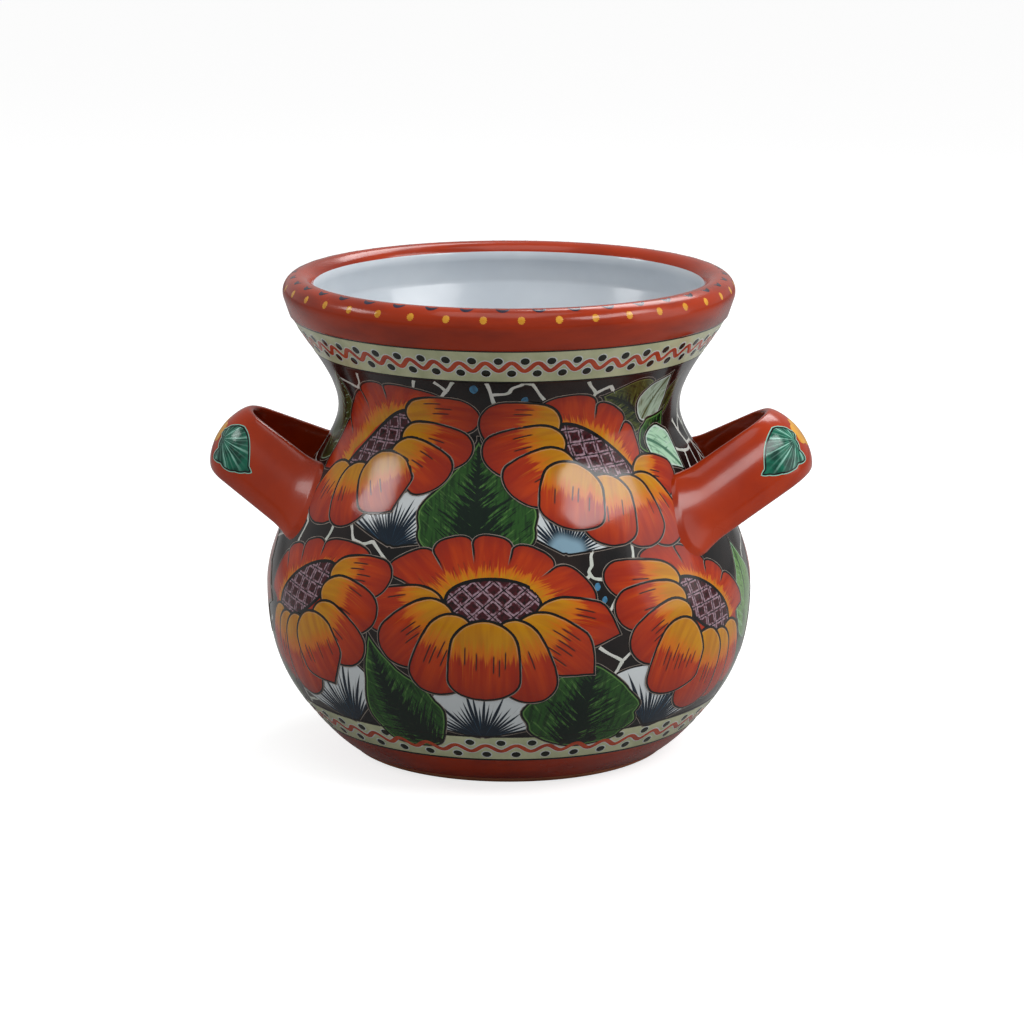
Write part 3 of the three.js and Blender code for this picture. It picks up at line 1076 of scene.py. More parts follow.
@dataclass(frozen=True)
class Flower:
    """A sunflower in its own millimetres: scalloped back petals, the disc, then front petals.

    Back petals lie between neighbouring sides, each (x and y at the disc, x and y of the notch, bulge of the
    petal that follows). Front petals are (base x, base y, tip x, tip y, width, bend), the lowest first.
    """

    back: Rows
    front: Rows
    disc: tuple[float, float, float, float, float]  # from one end to the other, and its width
    pointed: tuple[int, ...] = ()  # which front petals end in a point
    back_lift: tuple[float, float] = (0.14, 0.027)  # of the first one, and what each next one adds
    front_lift: tuple[float, float] = (0.28, 0.03)
    front_growth: float = 1.12  # of the width, for the outline
    tuck: float = 0.8  # how far a front petal's base goes under the disc

    def bed(self, spot: WallSpot, seed: float) -> Surface:
        """Orange ground under the petals: a fan from the disc's middle to a share of each tip and notch.

        Args:
            spot: where the flower lies.
            seed: tells its brushwork from that of others.

        Returns:
            The closed coat.
        """
        middle = np.array([(self.disc[0] + self.disc[2]) / 2, (self.disc[1] + self.disc[3]) / 2])
        tips = np.array([petal[2:4] for petal in (*self.back, *self.front)]) - middle
        bearing = np.arctan2(tips[:, 1], tips[:, 0])
        order = np.argsort(bearing)
        around = np.linspace(-np.pi, np.pi, 121)
        reach = BED_SHARE * np.hypot(*tips.T)[order]
        radius = np.interp(around, bearing[order], reach, period=2 * np.pi)
        share = np.linspace(0.02, 1, 16)[:, None] ** 0.7
        x, y = fan(share, radius, around)
        x, y = middle[0] + x, middle[1] + y
        ones = np.ones_like(x)
        values = {"along": 0.4 + 0.6 * share * ones, "ink": ones, "side": ones, "seed": seed * ones}
        values["edge"] = (1 - share) * radius
        return slab(spot.place(x, y, BED_LIFT), spot.place(x, y, COAT_BACK), values)

    def scallop(self, k: int) -> Patch:
        """A back petal: straight sides from the disc, and a round end between two notches.

        A point of the end lies on the chord between the notches, and beyond it by the bulge times the root
        of one less its share across to the power 2.6. The sides pass their line by half an outline.

        Args:
            k: which of the back petals.

        Returns:
            Its grid.
        """
        one, two = np.array(self.back[k][:4]), np.array(self.back[k + 1][:4])
        chord = two[2:] - one[2:]
        wide = float(np.hypot(*chord))
        over = np.concatenate([chord, chord]) / wide * HALF_OUTLINE
        one, two = one - over, two + over
        outwards = one[2:] - one[:2] + two[2:] - two[:2]
        turn = np.sign(chord[0] * outwards[1] - chord[1] * outwards[0])
        out = np.array([-chord[1], chord[0]]) / wide * turn
        share = np.sin(np.pi / 2 * np.linspace(-1, 1, int(np.clip(wide / 1.5, 11, 29))))
        way = (share[:, None] + 1) / 2
        root = one[:2] + way * (two[:2] - one[:2])
        bulge = self.back[k][4] * (1 - np.abs(share[:, None]) ** 2.6) ** 0.5
        end = one[2:] + way * (two[2:] - one[2:]) + bulge * out
        along = eased(22)
        points = root + along[:, None, None] * (end - root)
        length = float(np.hypot(*(end - root)[len(share) // 2]))
        ones = np.ones_like(points[..., 0])
        return Patch(points[..., 0], points[..., 1], along[:, None] * ones, share * ones, length)

    def petals(self, spot: WallSpot, seed: float) -> Surface:
        """All petals on their bed.

        Args:
            spot: where the flower lies.
            seed: tells its brushwork from that of others.

        Returns:
            One surface.
        """
        parts = [self.bed(spot, seed)]
        far = {"reach": 0.3, "rays": 0.8, "strokes": 0.35, "ink": (0.45, 0.68)}
        for k in range(len(self.back) - 1):
            lift = self.back_lift[0] + self.back_lift[1] * k
            parts.append(self.scallop(k).coat(spot, lift, seed + 1.37 * k, **far))
        near = {"reach": 0.46, "rays": 0.42, "strokes": 1.0}
        for k, (x0, y0, x1, y1, width, bend) in enumerate(self.front):
            back = self.tuck / math.hypot(x1 - x0, y1 - y0)
            start = (x0 - back * (x1 - x0), y0 - back * (y1 - y0))
            sharp = k in self.pointed
            end = {"tip_share": 0.8, "tip_round": 0.36} if sharp else {"tip_share": 0.96, "tip_round": 0.25}
            wide = self.front_growth * width
            blade = Blade(start, (x1, y1), wide, bend, widest=0.68, pointed=sharp, **end)
            lift = self.front_lift[0] + self.front_lift[1] * k
            parts.append(blade.patch().coat(spot, lift, seed + 11.3 + 2.71 * k, **near))
        return Surface.joined(parts)

    def face(self, spot: WallSpot) -> Surface:
        """The disc: an ellipse between its two ends, whose points know their place along and across it.

        Args:
            spot: where the flower lies.

        Returns:
            The closed coat.
        """
        x0, y0, x1, y1, width = self.disc
        ends = {"base_share": 1.0, "tip_share": 1.0, "base_round": 0.5, "tip_round": 0.5}
        oval = Blade((x0, y0), (x1, y1), width, widest=0.5, **ends).patch(30, 18)
        turn = math.atan2(y1 - y0, x1 - x0)
        along = oval.x * math.cos(turn) + oval.y * math.sin(turn)
        upward = oval.y * math.cos(turn) - oval.x * math.sin(turn)
        return coat(spot, oval.x, oval.y, DISC_LIFT, {"disc_x": along, "disc_y": upward, "ink": 1.0})

    def paint(self, name: str, spot: WallSpot, palette: Palette, seed: float) -> None:
        """Puts the flower's petals and disc on the wall."""
        self.petals(spot, seed).placed(f"{name}_petals", palette["petal_glaze"])
        self.face(spot).placed(f"{name}_disc", palette["disc_glaze"])


FULL_FACE = Flower(
    ((-24, -2, -56, 9, 6), (-19, 4, -31, 22, 6), (-8, 7, -11, 28, 6),
     (6, 8, 9, 25, 6), (17, 5, 30, 15, 8), (24, -2, 51, -6, 0)),
    ((-25, -4, -70, -14, 21, -2), (21, -9, 66.5, -21, 23, 2), (-20, -8, -56, -34, 26, -3),
     (12, -13, 52, -41, 25, 3), (-14, -10, -32, -51, 28, -2), (5, -12, 20.5, -55, 26, 3),
     (-4, -11, -5, -53.5, 34, 0)),
    (-25, -1.5, 24.5, -2, 25),
    (1, 3),
)
TURNED_RIGHT = Flower(  # the upper left flower, whose face turns to the lower right
    ((-18, -20, -38, -23, 5), (-16, -8, -27, 6, 4), (-3, 5, -8, 25, 5), (9, 13, 12, 31, 5),
     (23, 18, 46, 26, 0)),
    ((21, 14, 62, 16, 19, 3), (-13, -17, -22, -51, 28, -3), (17, 3, 57, -5, 20, 3),
     (-5, -13, 4, -47, 27, -2), (12, -5, 48, -20, 23, 3), (7.5, -5, 28.5, -36, 30, -3)),
    (-17.5, -20.5, 24.5, 18, 16),
    (5,),
)
TURNED_LEFT = Flower(  # the upper right flower, whose face turns to the lower left
    ((-21, 14, -33, 24, 9), (0, 8, -2, 26, 5), (10, 1, 17, 14, 7), (18, -12, 22, -8, 0)),
    ((18, -14, 46, -24, 22, 3), (-20, 14.5, -62, 16, 24, -2), (16, -14, 34, -53, 24, 2),
     (-17, 7, -60, -3, 22, -2), (9, -13, 17, -52, 25, 1), (-14, -3, -51, -20, 24, -2),
     (1, -11, -6, -49, 28, 0), (-13, -4, -25, -39, 31, -1)),
    (-22.5, 15.5, 19.5, -17.5, 20),
)
LEANING_RIGHT = Flower(  # the lower left flower
    ((-27, -12, -43, -8, 4), (-20, -2, -29, 16, 4), (-10, 5, -13, 21, 5), (4, 12, 4.5, 26, 6),
     (17, 15, 38, 25, 0)),
    ((-24, -13, -36, -48, 22, -2), (16, 11, 55, 13, 20, 3), (-17, -14, -20, -54, 24, -2),
     (12, 2, 49, -10, 23, 4), (-7, -13, -4, -58, 28, -2), (7, -9, 39, -31, 24, 4),
     (2, -9.5, 19.5, -46, 32, -1)),
    (-28, -14.5, 19.5, 16.5, 23),
    (6,),
)
LEANING_LEFT = Flower(  # the lower right flower
    ((-17, 15, -37, 29, 5), (-6, 12, -13, 32, 4), (5, 8, 7, 20, 4), (13, 3, 21.5, 11, 5),
     (24, -13, 42, -9, 0)),
    ((22, -15, 33, -52, 24, 2), (-15, 15, -61, 19.5, 19, -2), (14, -16, 14, -57, 26, 1),
     (-13, 5, -58.5, 1, 21, -3), (6, -14, -2, -59, 30, -1), (-10, -3, -47, -22, 25, -4),
     (-8, -8, -21, -45, 34, -4)),
    (-19.5, 14.5, 24.5, -16.5, 22),
)


@dataclass(frozen=True)
class Leaf:
    """A leaf on the wall, from the place of its base to that of its tip, each as azimuth and height."""

    name: str
    base: tuple[float, float]
    tip: tuple[float, float]
    width: float
    finish: str
    bend: float = 0.0
    lift: float = 0.09
    widest: float = 0.4
    lobes: int = 3
    tip_round: float = 0.6
    pointed: bool = True

    def paint(self, name: str, turn: float, palette: Palette, seed: float) -> None:
        """Puts the leaf on the wall.

        Args:
            name: the piece's name.
            turn: degrees by which it lies further round the pot.
            palette: the finishes.
            seed: tells its brushwork from that of others.
        """
        spot = WallSpot(self.base[0] + turn, self.base[1])
        tip = spot.to(self.tip[0] + turn, self.tip[1])
        ends = {"base_share": 0.6, "tip_share": 0.45, "base_round": 0.25, "tip_round": self.tip_round}
        edges = {"pointed": self.pointed, "lobes": self.lobes, "lobe_depth": LOBE_DEPTH}
        blade = Blade((0, 0), tip, self.width, self.bend, self.widest, **ends, **edges)
        blade.patch().coat(spot, self.lift, seed).placed(name, palette[self.finish])


@dataclass(frozen=True)
class Tuft:
    """A white tuft on the wall: a fan of spikes from its root, between two directions in degrees."""

    name: str
    root: tuple[float, float]
    first: float
    last: float
    reach: float
    blue_heart: float = 0.0

    def paint(self, name: str, turn: float, palette: Palette, seed: float) -> None:
        """Puts the tuft on the wall: its points lie on rays from the root, out to a softly waved reach.

        Args:
            name: the piece's name.
            turn: degrees by which it lies further round the pot.
            palette: the finishes.
            seed: tells its brushwork from that of others.
        """
        angle = np.radians(np.linspace(self.first, self.last, 41))
        share = np.linspace(0.03, 1, 16)[:, None]
        x, y = fan(share, self.reach * (1 + 0.06 * np.sin(5 * angle + seed)), angle)
        values = {"along": share, "angle": angle, "seed": seed, "ink": 1.0, "heart": self.blue_heart}
        spot = WallSpot(self.root[0] + turn, self.root[1])
        coat(spot, x, y, TUFT_LIFT, values).placed(name, palette["tuft_glaze"])


# Lines and dots


def stroke(line: Numbers, width: Numbers, lift: float) -> Surface:
    """A painted line on the wall, with a rounded face.

    Args:
        line: its places as azimuth and length of wall, n by 2.
        width: its width in millimetres at each place.
        lift: height of its middle over the ground.

    Returns:
        The closed line.
    """
    radius = FORM.radius(FORM.height_at(line[:, 1]))
    flat = as_points(np.radians(line[:, 0]) * radius, line[:, 1])
    across = square_to(np.gradient(flat, axis=0))[..., None] * width[:, None, None] / 2 * ACROSS
    azimuth = line[:, :1] + np.degrees(across[:, 0] / radius[:, None])
    length = line[:, 1:] + across[:, 1]
    rise = lift - STROKE_DROP * ACROSS**2 + 0 * azimuth
    return slab(on_wall(azimuth, length, rise), on_wall(azimuth, length, STROKE_BACK + 0 * rise))


def ring_stroke(middle: Numbers | float, width: float, lift: float, steps: int = RING_STEPS) -> Surface:
    """A painted line that goes right round the pot.

    Args:
        middle: its length of wall at each step round the pot, or one for all.
        width: its width in millimetres.
        lift: height of its middle over the ground.
        steps: how many places it has.

    Returns:
        The closed ring.
    """
    azimuth = 360 * np.arange(steps) / steps
    middle = np.broadcast_to(np.asarray(middle, float), azimuth.shape)
    radius = FORM.radius(FORM.height_at(middle))
    step = np.radians(azimuth[1]) * radius
    normal = square_to(as_points(2 * step, np.roll(middle, -1) - np.roll(middle, 1)))
    across = np.append(ACROSS, [1.0, -1.0])[:, None]
    drop = np.append(-STROKE_DROP * ACROSS**2, [STROKE_BACK - lift] * 2)[:, None]
    turned_by = azimuth + np.degrees(normal[:, 0] * across * width / 2 / radius)
    length = middle + normal[:, 1] * across * width / 2
    return tube(on_wall(turned_by, length, drop + lift + 0 * length))


def dots(places: Numbers, wide: float, tall: float, lift: float) -> Surface:
    """Dots on the wall: each a low dome of rings over an oval.

    Args:
        places: azimuth and length of wall of each, n by 2.
        wide: half width round the pot.
        tall: half height up the wall.
        lift: height of a dot's crown over the ground.

    Returns:
        All of them as one surface.
    """
    angle = 2 * np.pi * np.arange(DOT_SIDES) / DOT_SIDES
    rings = np.array([[1.0, STROKE_BACK - lift], [1.0, -0.07], [0.8, -0.03], [0.4, 0.0], [0.02, 0.0]])
    at, middle = (places[:, c, None, None] for c in (0, 1))
    across, upward = rings[:, :1] * wide * np.cos(angle), rings[:, :1] * tall * np.sin(angle)
    azimuth = at + np.degrees(across / FORM.radius(FORM.height_at(middle)))
    points = on_wall(azimuth, middle + upward, lift + rings[:, 1:] + 0 * azimuth)
    cap = np.array([[0, k, k + 1, k + 2] for k in range(1, DOT_SIDES - 2, 2)])
    sides = grid_faces(len(rings), DOT_SIDES, wrap=True)
    one = np.concatenate([sides, cap + (len(rings) - 1) * DOT_SIDES, cap[:, ::-1]])
    every = one + len(rings) * DOT_SIDES * np.arange(len(places))[:, None, None]
    return Surface(points.reshape(-1, 3), every.reshape(-1, 4))


# Sub-assemblies


@dataclass
class GlazedBody:
    """The pot's smooth skins: each is a turned ring that fills one band of the wall."""

    foot_band_top: float = 17.2
    lower_border_top: float = 32.8
    upper_border_foot: float = 211.3
    upper_border_top: float = 229.0
    skin: float = 3.2
    glaze_line: float = 2.5  # the foot's lowest part is left bare
    rim_turn: float = 154.0  # the angle on the bead where orange meets white
    foot_inner: float = 68.5
    recess: float = 3.0  # the foot ring's height inside
    recess_radius: float = 80.0
    heel: float = 0.6  # rounding of the foot ring's two edges
    white_depth: float = 4.0  # the white's hidden back under the outside
    rim_depth: float = 6.0  # the same of the rim
    clay_top: float = 5.0  # where the drain's clay meets its glaze
    lip: float = 0.8  # the drain's rounded edge

    def outer_band(self, low: float, high: float) -> Surface:
        """A band of the outside: up the ground's surface, and back down a skin's thickness under it.

        Args:
            low: its lower height.
            high: its upper height.

        Returns:
            The closed ring.
        """
        z = np.linspace(low, high, max(3, int((high - low) / 2.0) + 2))
        outer = FORM.stepped_in(z, COAT_DEPTH)
        return turned(np.concatenate([outer, FORM.stepped_in(z, self.skin)[::-1]]))

    def over_bead(self, point: Numbers, side: float, turns: float, count: int) -> Numbers:
        """Points on the rim's bead, from where a straight line from a point below touches it.

        The line touches at the angle from the bead's centre to the point, turned by the arc cosine of the
        bead's radius over the point's distance.

        Args:
            point: where the line starts, as (radius, height).
            side: 1 if it touches the outside, -1 for the inside.
            turns: degrees to add to its angle.
            count: how many points.

        Returns:
            The points, up to where the white begins.
        """
        away = point - FORM.bead_centre()
        turn = math.acos(FORM.bead_radius / float(np.hypot(*away)))
        start = math.degrees(math.atan2(away[1], away[0]) + side * turn) + turns
        angle = np.radians(np.linspace(start, self.rim_turn, count))
        return FORM.bead_centre() + FORM.glazed_bead() * as_points(np.cos(angle), np.sin(angle))

    def rim(self) -> Surface:
        """The rolled rim: up the collar, on a tangent to the bead, and over it to the white.

        Returns:
            The closed ring.
        """
        top = FORM.heights[-1]
        z = np.linspace(self.upper_border_top, top, 4)
        rest = COAT_DEPTH - FORM.bead_skin
        collar = FORM.stepped_in(z, FORM.bead_skin + rest * (top - z) / (top - z[0]))
        under = [FORM.bead_centre(), FORM.stepped_in(top, self.rim_depth), FORM.stepped_in(z[0], self.skin)]
        return turned(np.concatenate([collar, self.over_bead(collar[-1], 1.0, 0.0, 34), under]))

    def interior(self) -> Surface:
        """The white inside: from the drain hole over the floor, round the fillet and up to the bead.

        Returns:
            The closed ring.
        """
        drain, floor_top, top = FORM.drain_radius, FORM.floor_top, FORM.heights[-1]
        turn = np.linspace(0, np.pi / 2, 9)
        fillet_z = floor_top + FORM.fillet - FORM.fillet * np.cos(turn)
        fillet_r = FORM.inside(fillet_z) - FORM.fillet * (1 - np.sin(turn))
        wall_z = np.linspace(floor_top + FORM.fillet + 2, top, 96)
        floor_r = np.linspace(drain + self.lip, fillet_r[0], 30)[:-1]
        floor = as_points(floor_r, floor_top + 0 * floor_r)
        fillet = as_points(fillet_r, fillet_z)
        wall = as_points(FORM.inside(wall_z), wall_z)
        behind = FORM.stepped_in(np.linspace(self.clay_top, top, 60), self.white_depth)[::-1]
        over = self.over_bead(wall[-1], -1.0, 360.0, 16)
        hole = np.array([[drain, self.clay_top], [drain, floor_top - self.lip]])
        return turned(np.concatenate([floor, fillet, wall, over, [FORM.bead_centre()], behind, hole])[::-1])

    def foot(self) -> Surface:
        """Bare clay: the foot ring, the recess inside it and the drain hole's lower end.

        Returns:
            The closed ring.
        """
        z = np.linspace(0, self.glaze_line, 4)
        outer = FORM.stepped_in(z, COAT_DEPTH * z / self.glaze_line)
        outer[0] = (FORM.radii[0] - self.heel, 0.0)
        outer = np.insert(outer, 1, (FORM.radii[0] - 0.05, 0.5), axis=0)
        drain, ring, top, recess = FORM.drain_radius, self.foot_inner, self.clay_top, self.recess
        hole = [(self.recess_radius, top), (drain, top), (drain, recess + 1), (drain + 1, recess)]
        inner = [(ring - 1, recess), (ring - 0.2, recess - 0.5), (ring, self.heel), (ring + self.heel, 0.0)]
        return turned(np.concatenate([outer, hole + inner]))

    def build(self, palette: Palette) -> None:
        """Puts the skins in the scene, in place of the faceted walls.

        Args:
            palette: the finishes by name.
        """
        clay = self.foot().placed("foot_clay", palette["bare_clay"], "bare_clay")
        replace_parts(clay, "foot_ring")
        low = self.outer_band(self.glaze_line, self.foot_band_top)
        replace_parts(low.placed("foot_band", palette["rust_glaze"], "orange_glaze"), "floor_edge")
        lower = self.outer_band(self.foot_band_top, self.lower_border_top)
        lower.placed("lower_border", palette["sage_glaze"])
        ground = self.outer_band(self.lower_border_top, self.upper_border_foot)
        painted = ground.placed("painted_ground", palette["black_ground"])
        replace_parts(painted, "base_wall", "belly_wall", "shoulder_wall", "neck_wall")
        upper = self.outer_band(self.upper_border_foot, self.upper_border_top)
        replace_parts(upper.placed("upper_border", palette["sage_glaze"]), "collar_wall")
        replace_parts(self.rim().placed("rim", palette["rust_glaze"], "orange_glaze"), "rim_roll")
        white = self.interior().placed("interior", palette["white_glaze"], "white_glaze")
        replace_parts(white, "floor_slab")


@dataclass
class Border:
    """A sage border's drawing: a wavy line, with a haloed dot in each of its hollows."""

    name: str
    low: float
    high: float
    waves: int
    swing: float
    dot_offset: float
    line_width: float = 2.6
    edge_width: float = 1.3
    line_halo: float = 1.3  # how much wider the line's pale halo is
    dot_wide: float = 2.3  # half width of a dot
    dot_tall: float = 2.25
    dot_halo: float = 0.6  # how far a dot's pale halo shows round it

    def build(self, palette: Palette) -> None:
        """Puts the line, the dots and the border's two edges in the scene.

        The line is a cosine, which two slow sines shift a little, as a hand does.

        Args:
            palette: the finishes by name.
        """
        low, high = float(FORM.length_at(self.low)), float(FORM.length_at(self.high))
        middle = (low + high) / 2
        azimuth = 360 * np.arange(RING_STEPS) / RING_STEPS
        hand = 0.25 * np.sin(np.radians(7 * azimuth)) + 0.15 * np.sin(np.radians(17 * azimuth + 40))
        wave = middle + hand + self.swing * np.cos(np.radians(self.waves * azimuth))
        number = np.arange(2 * self.waves)
        offset = self.dot_offset * np.where(number % 2, 0.95, -1.0)
        places = as_points(360 * number / (2 * self.waves), middle + offset)
        edges = [ring_stroke(at, self.edge_width, 0.12, TURNS) for at in (low, high)]
        halos = dots(places, self.dot_wide + self.dot_halo, self.dot_tall + self.dot_halo, 0.12)
        for part, finish, surface in (
            ("wave_halo", "pale_halo", ring_stroke(wave, self.line_width + self.line_halo, 0.1)),
            ("wave", "wave_line", ring_stroke(wave, self.line_width, 0.18)),
            ("dot_halos", "pale_halo", halos),
            ("dots", "dark_dot", dots(places, self.dot_wide, self.dot_tall, 0.22)),
            ("edges", "ink_line", Surface.joined(edges)),
        ):
            surface.placed(f"{self.name}_{part}", palette[finish])


@dataclass
class RimDrawing:
    """Yellow dots round the rim's shoulder, with small navy arcs between them on its crest."""

    count: int = 39
    dot_angle: float = 27.0  # on the bead, from level outwards up to the crest
    arc_angle: float = 66.0
    dot_wide: float = 2.1
    dot_tall: float = 2.4
    arc_reach: float = 3.4
    arc_dip: float = 1.9
    arc_thick: float = 1.25

    def coat(self, azimuth: Numbers, angle: Numbers, rise: Numbers) -> Surface:
        """A coat on the rim's bead.

        Args:
            azimuth: degrees round the pot, from the middle of the coat's place.
            angle: degrees round the bead.
            rise: height of the face over the bead.

        Returns:
            The closed coat.
        """
        grids = []
        for lift in (rise, -0.15):
            out, turn = FORM.glazed_bead() + lift, np.radians(angle)
            radius, height = FORM.bead_centre()
            radius, height = radius + out * np.cos(turn), height + out * np.sin(turn)
            grids.append(round_axis(radius, np.radians(azimuth), height))
        return slab(*grids)

    def round_pot(self, length: Numbers) -> Numbers:
        """Degrees round the pot for millimetres along the rim."""
        return np.degrees(length / (FORM.radii[-1] - 5))

    def dot(self, azimuth: float) -> Surface:
        """A small oval on the bead: rings of points at shares of its half sizes.

        Args:
            azimuth: degrees round the pot.

        Returns:
            The closed coat.
        """
        across, upward = fan(np.array([[0.03], [0.5], [0.85], [1.0]]), 1.0, np.linspace(0, 2 * np.pi, 13))
        rise = np.array([[0.02], [0.02], [0.0], [-0.04]])
        angle = self.dot_angle + np.degrees(upward * self.dot_tall / FORM.bead_radius)
        return self.coat(azimuth + self.round_pot(across * self.dot_wide), angle, rise)

    def arc(self, azimuth: float) -> Surface:
        """A navy arc: a short stroke that dips towards the outside as a parabola and thins at its ends.

        Args:
            azimuth: degrees round the pot.

        Returns:
            The closed coat.
        """
        way = np.linspace(-1, 1, 9)[:, None]
        across = np.array([[-1.0, -0.4, 0.4, 1.0]])
        thick = self.arc_thick * (1 - 0.7 * way**4)
        angle = self.arc_angle + np.degrees((self.arc_dip * way**2 + thick * across) / FORM.bead_radius)
        turn = azimuth + 0 * across + self.round_pot(self.arc_reach * way)
        return self.coat(turn, angle, 0.07 - 0.04 * across**2 + 0 * way)

    def build(self, palette: Palette) -> None:
        """Puts the dots and arcs in the scene.

        Args:
            palette: the finishes by name.
        """
        step = 360 / self.count
        dotted = Surface.joined([self.dot(step * k) for k in range(self.count)])
        dotted.placed("rim_dots", palette["yellow_dot"], "orange_glaze")
        arcs = Surface.joined([self.arc(step * (k + 0.5)) for k in range(self.count)])
        arcs.placed("rim_arcs", palette["navy_stroke"], "orange_glaze")


@dataclass
class StrapHandle:
    """A strap bent into a loop, tilted up from the shoulder, with its clay drawn out where it is luted on."""

    name: str
    node: str
    side: float
    tilt: float
    root_rise: float
    tip_radius: float
    half_span: float
    leaf_at: float = 17.5  # from the tip to the leaf's middle, along an arm
    width: float = 38.0
    thickness: float = 7.5
    crown: float = 4.0
    lean: float = 1.5
    width_tilt: float = 5.0
    projection: float = 45.4
    luting: float = 8.0  # the last stretch before the wall, where the clay is drawn out
    swell: float = 1.8
    sunk: float = 2.2  # how far the strap's ends lie inside the wall
    coat_lift: float = 0.06
    coat_rise: float = 0.08
    stem: tuple[float, float] = (6.5, 0.8)
    leaf_middle: float = -1.5
    leaf_stretch: float = 1.18
    leaf_bulge: float = 0.5
    vein_reach: float = 24.0
    rosette_size: float = 8.5
    rosette_petals: int = 6
    rosette_rise: float = 1.5  # from the middle of the strap's width
    leaf_corners: Rows = (
        (7.7, 6.1), (5.5, 10.2), (1.2, 13.0), (-5.8, 8.9), (-13.4, -1.5), (-16.4, -3.4), (-13.1, -6.0),
        (-7.6, -9.3), (-2.2, -11.5), (1.0, -10.6), (5.5, -11.7), (6.6, -9.6), (5.4, -4.9), (6.9, 0.6),
        (8.8, 2.8), (7.7, 6.1),
    )

    def section(self, angle: Numbers) -> tuple[Numbers, Numbers]:
        """Section of the strap: a squared ellipse whose outer face is crowned.

        Args:
            angle: where round the section.

        Returns:
            The distance out from the middle, and the distance up.
        """
        across, along = (np.sign(wave(angle)) * np.abs(wave(angle)) ** (2 / 3) for wave in (np.cos, np.sin))
        return self.crowned(across, along), self.width / 2 * along

    def crowned(self, across: Numbers, along: Numbers) -> Numbers:
        """Distance out from the middle, at shares of the half thickness and half width."""
        return self.thickness / 2 * across + self.crown * (1 - along**2) * (1 + across) / 2

    def length(self) -> float:
        """Length of the loop in its own plane.

        Returns:
            The length that brings the tip's furthest point to the projection.
        """
        tilt, lean = math.radians(self.tilt), math.tan(math.radians(self.width_tilt))
        out, up = self.section(2 * np.pi * (np.arange(20) + 0.5) / 20)
        outward = (out - up * lean) * math.cos(tilt) - up * math.sin(tilt)
        return (self.projection - float(outward.max())) / math.cos(tilt)

    def line(self, way: Numbers) -> tuple[Numbers, Numbers]:
        """Middle line of the loop in its plane: a circle round the tip, then two straight arms to the wall.

        Args:
            way: length of strap from the tip.

        Returns:
            The places, and the directions there.
        """
        centre = self.length() - self.tip_radius
        reach = math.hypot(centre, self.half_span)
        arc = self.tip_radius * (math.atan2(self.half_span, -centre) - math.acos(self.tip_radius / reach))
        angle = np.clip(way, -arc, arc) / self.tip_radius
        past = way - np.clip(way, -arc, arc)
        ahead = as_points(-np.sin(angle), np.cos(angle))
        round_tip = as_points(centre + self.tip_radius * np.cos(angle), self.tip_radius * np.sin(angle))
        return round_tip + past[..., None] * ahead, ahead

    def placed_points(self, way: Numbers, out: Numbers, up: Numbers) -> Numbers:
        """Points of the strap in the pot's frame.

        The point's place across the strap is added square to the line, the strap's width leans inwards as it
        rises, and the whole is tilted up, moved to the shoulder and turned to its side of the pot.

        Args:
            way: length of strap from the tip.
            out: distance out from the middle line.
            up: distance up the strap's width.

        Returns:
            Points, with 3 as their last size.
        """
        at, ahead = self.line(way)
        x = at[..., 0] + out * ahead[..., 1] - up * math.tan(math.radians(self.width_tilt))
        y = (at[..., 1] - out * ahead[..., 0]) * (1 - self.lean / self.half_span * up / (self.width / 2))
        tilt = math.radians(self.tilt)
        forward = x * math.cos(tilt) - up * math.sin(tilt) + FORM.radii[3]
        height = x * math.sin(tilt) + up * math.cos(tilt) + FORM.heights[3] + self.root_rise
        return as_points(self.side * forward, self.side * y, height)

    def off_wall(self, points: Numbers) -> Numbers:
        """How far points lie outside the wall, square to it."""
        radius, slope = FORM.cubic(np.clip(points[..., 2], 0, FORM.heights[-1]))
        return (np.hypot(points[..., 0], points[..., 1]) - radius) / np.hypot(1, slope)

    def strap(self) -> Surface:
        """The strap's surface: each line of the section runs from just under the wall to just under it.

        Near the wall the section swells by the square of what is left of the luting, as drawn out clay does.

        Returns:
            The closed strap.
        """
        columns, rows = 56, 150
        out, up = self.section(2 * np.pi * (np.arange(columns) + 0.5) / columns)
        dense = np.linspace(-110, 110, 1101)
        outside = self.off_wall(self.placed_points(dense[:, None], out[None, :], up[None, :])) > -self.sunk
        middle = len(dense) // 2
        first = middle - np.argmin(outside[middle::-1], axis=0)
        last = middle + np.argmin(outside[middle:], axis=0)
        share = 0.35 * eased(rows) + 0.65 * np.linspace(0, 1, rows)
        way = dense[first] + share[:, None] * (dense[last] - dense[first])
        flat = self.placed_points(way, out + 0 * way, up + 0 * way)
        grown = self.swell * np.clip(1 - self.off_wall(flat) / self.luting, 0, 1) ** 2
        length = np.hypot(np.gradient(out), np.gradient(up))
        push_out, push_up = np.gradient(up) / length, -np.gradient(out) / length
        points = self.placed_points(way, out + grown * push_out, up + grown * push_up).reshape(-1, 3)
        ring, half = np.arange(columns), columns // 2
        cap = as_points(ring[: half - 1], ring[1:half], ring[::-1][1:half], ring[::-1][: half - 1])
        ends = [cap[:, ::-1], cap + (rows - 1) * columns]
        faces = np.concatenate([grid_faces(rows, columns, wrap=True), *ends])
        a, b, c, d = (points[faces[:, k]] for k in range(4))
        volume = np.einsum("ij,ij->", a, np.cross(b, c)) + np.einsum("ij,ij->", a, np.cross(c, d))
        return Surface(points, faces if volume > 0 else faces[:, ::-1])

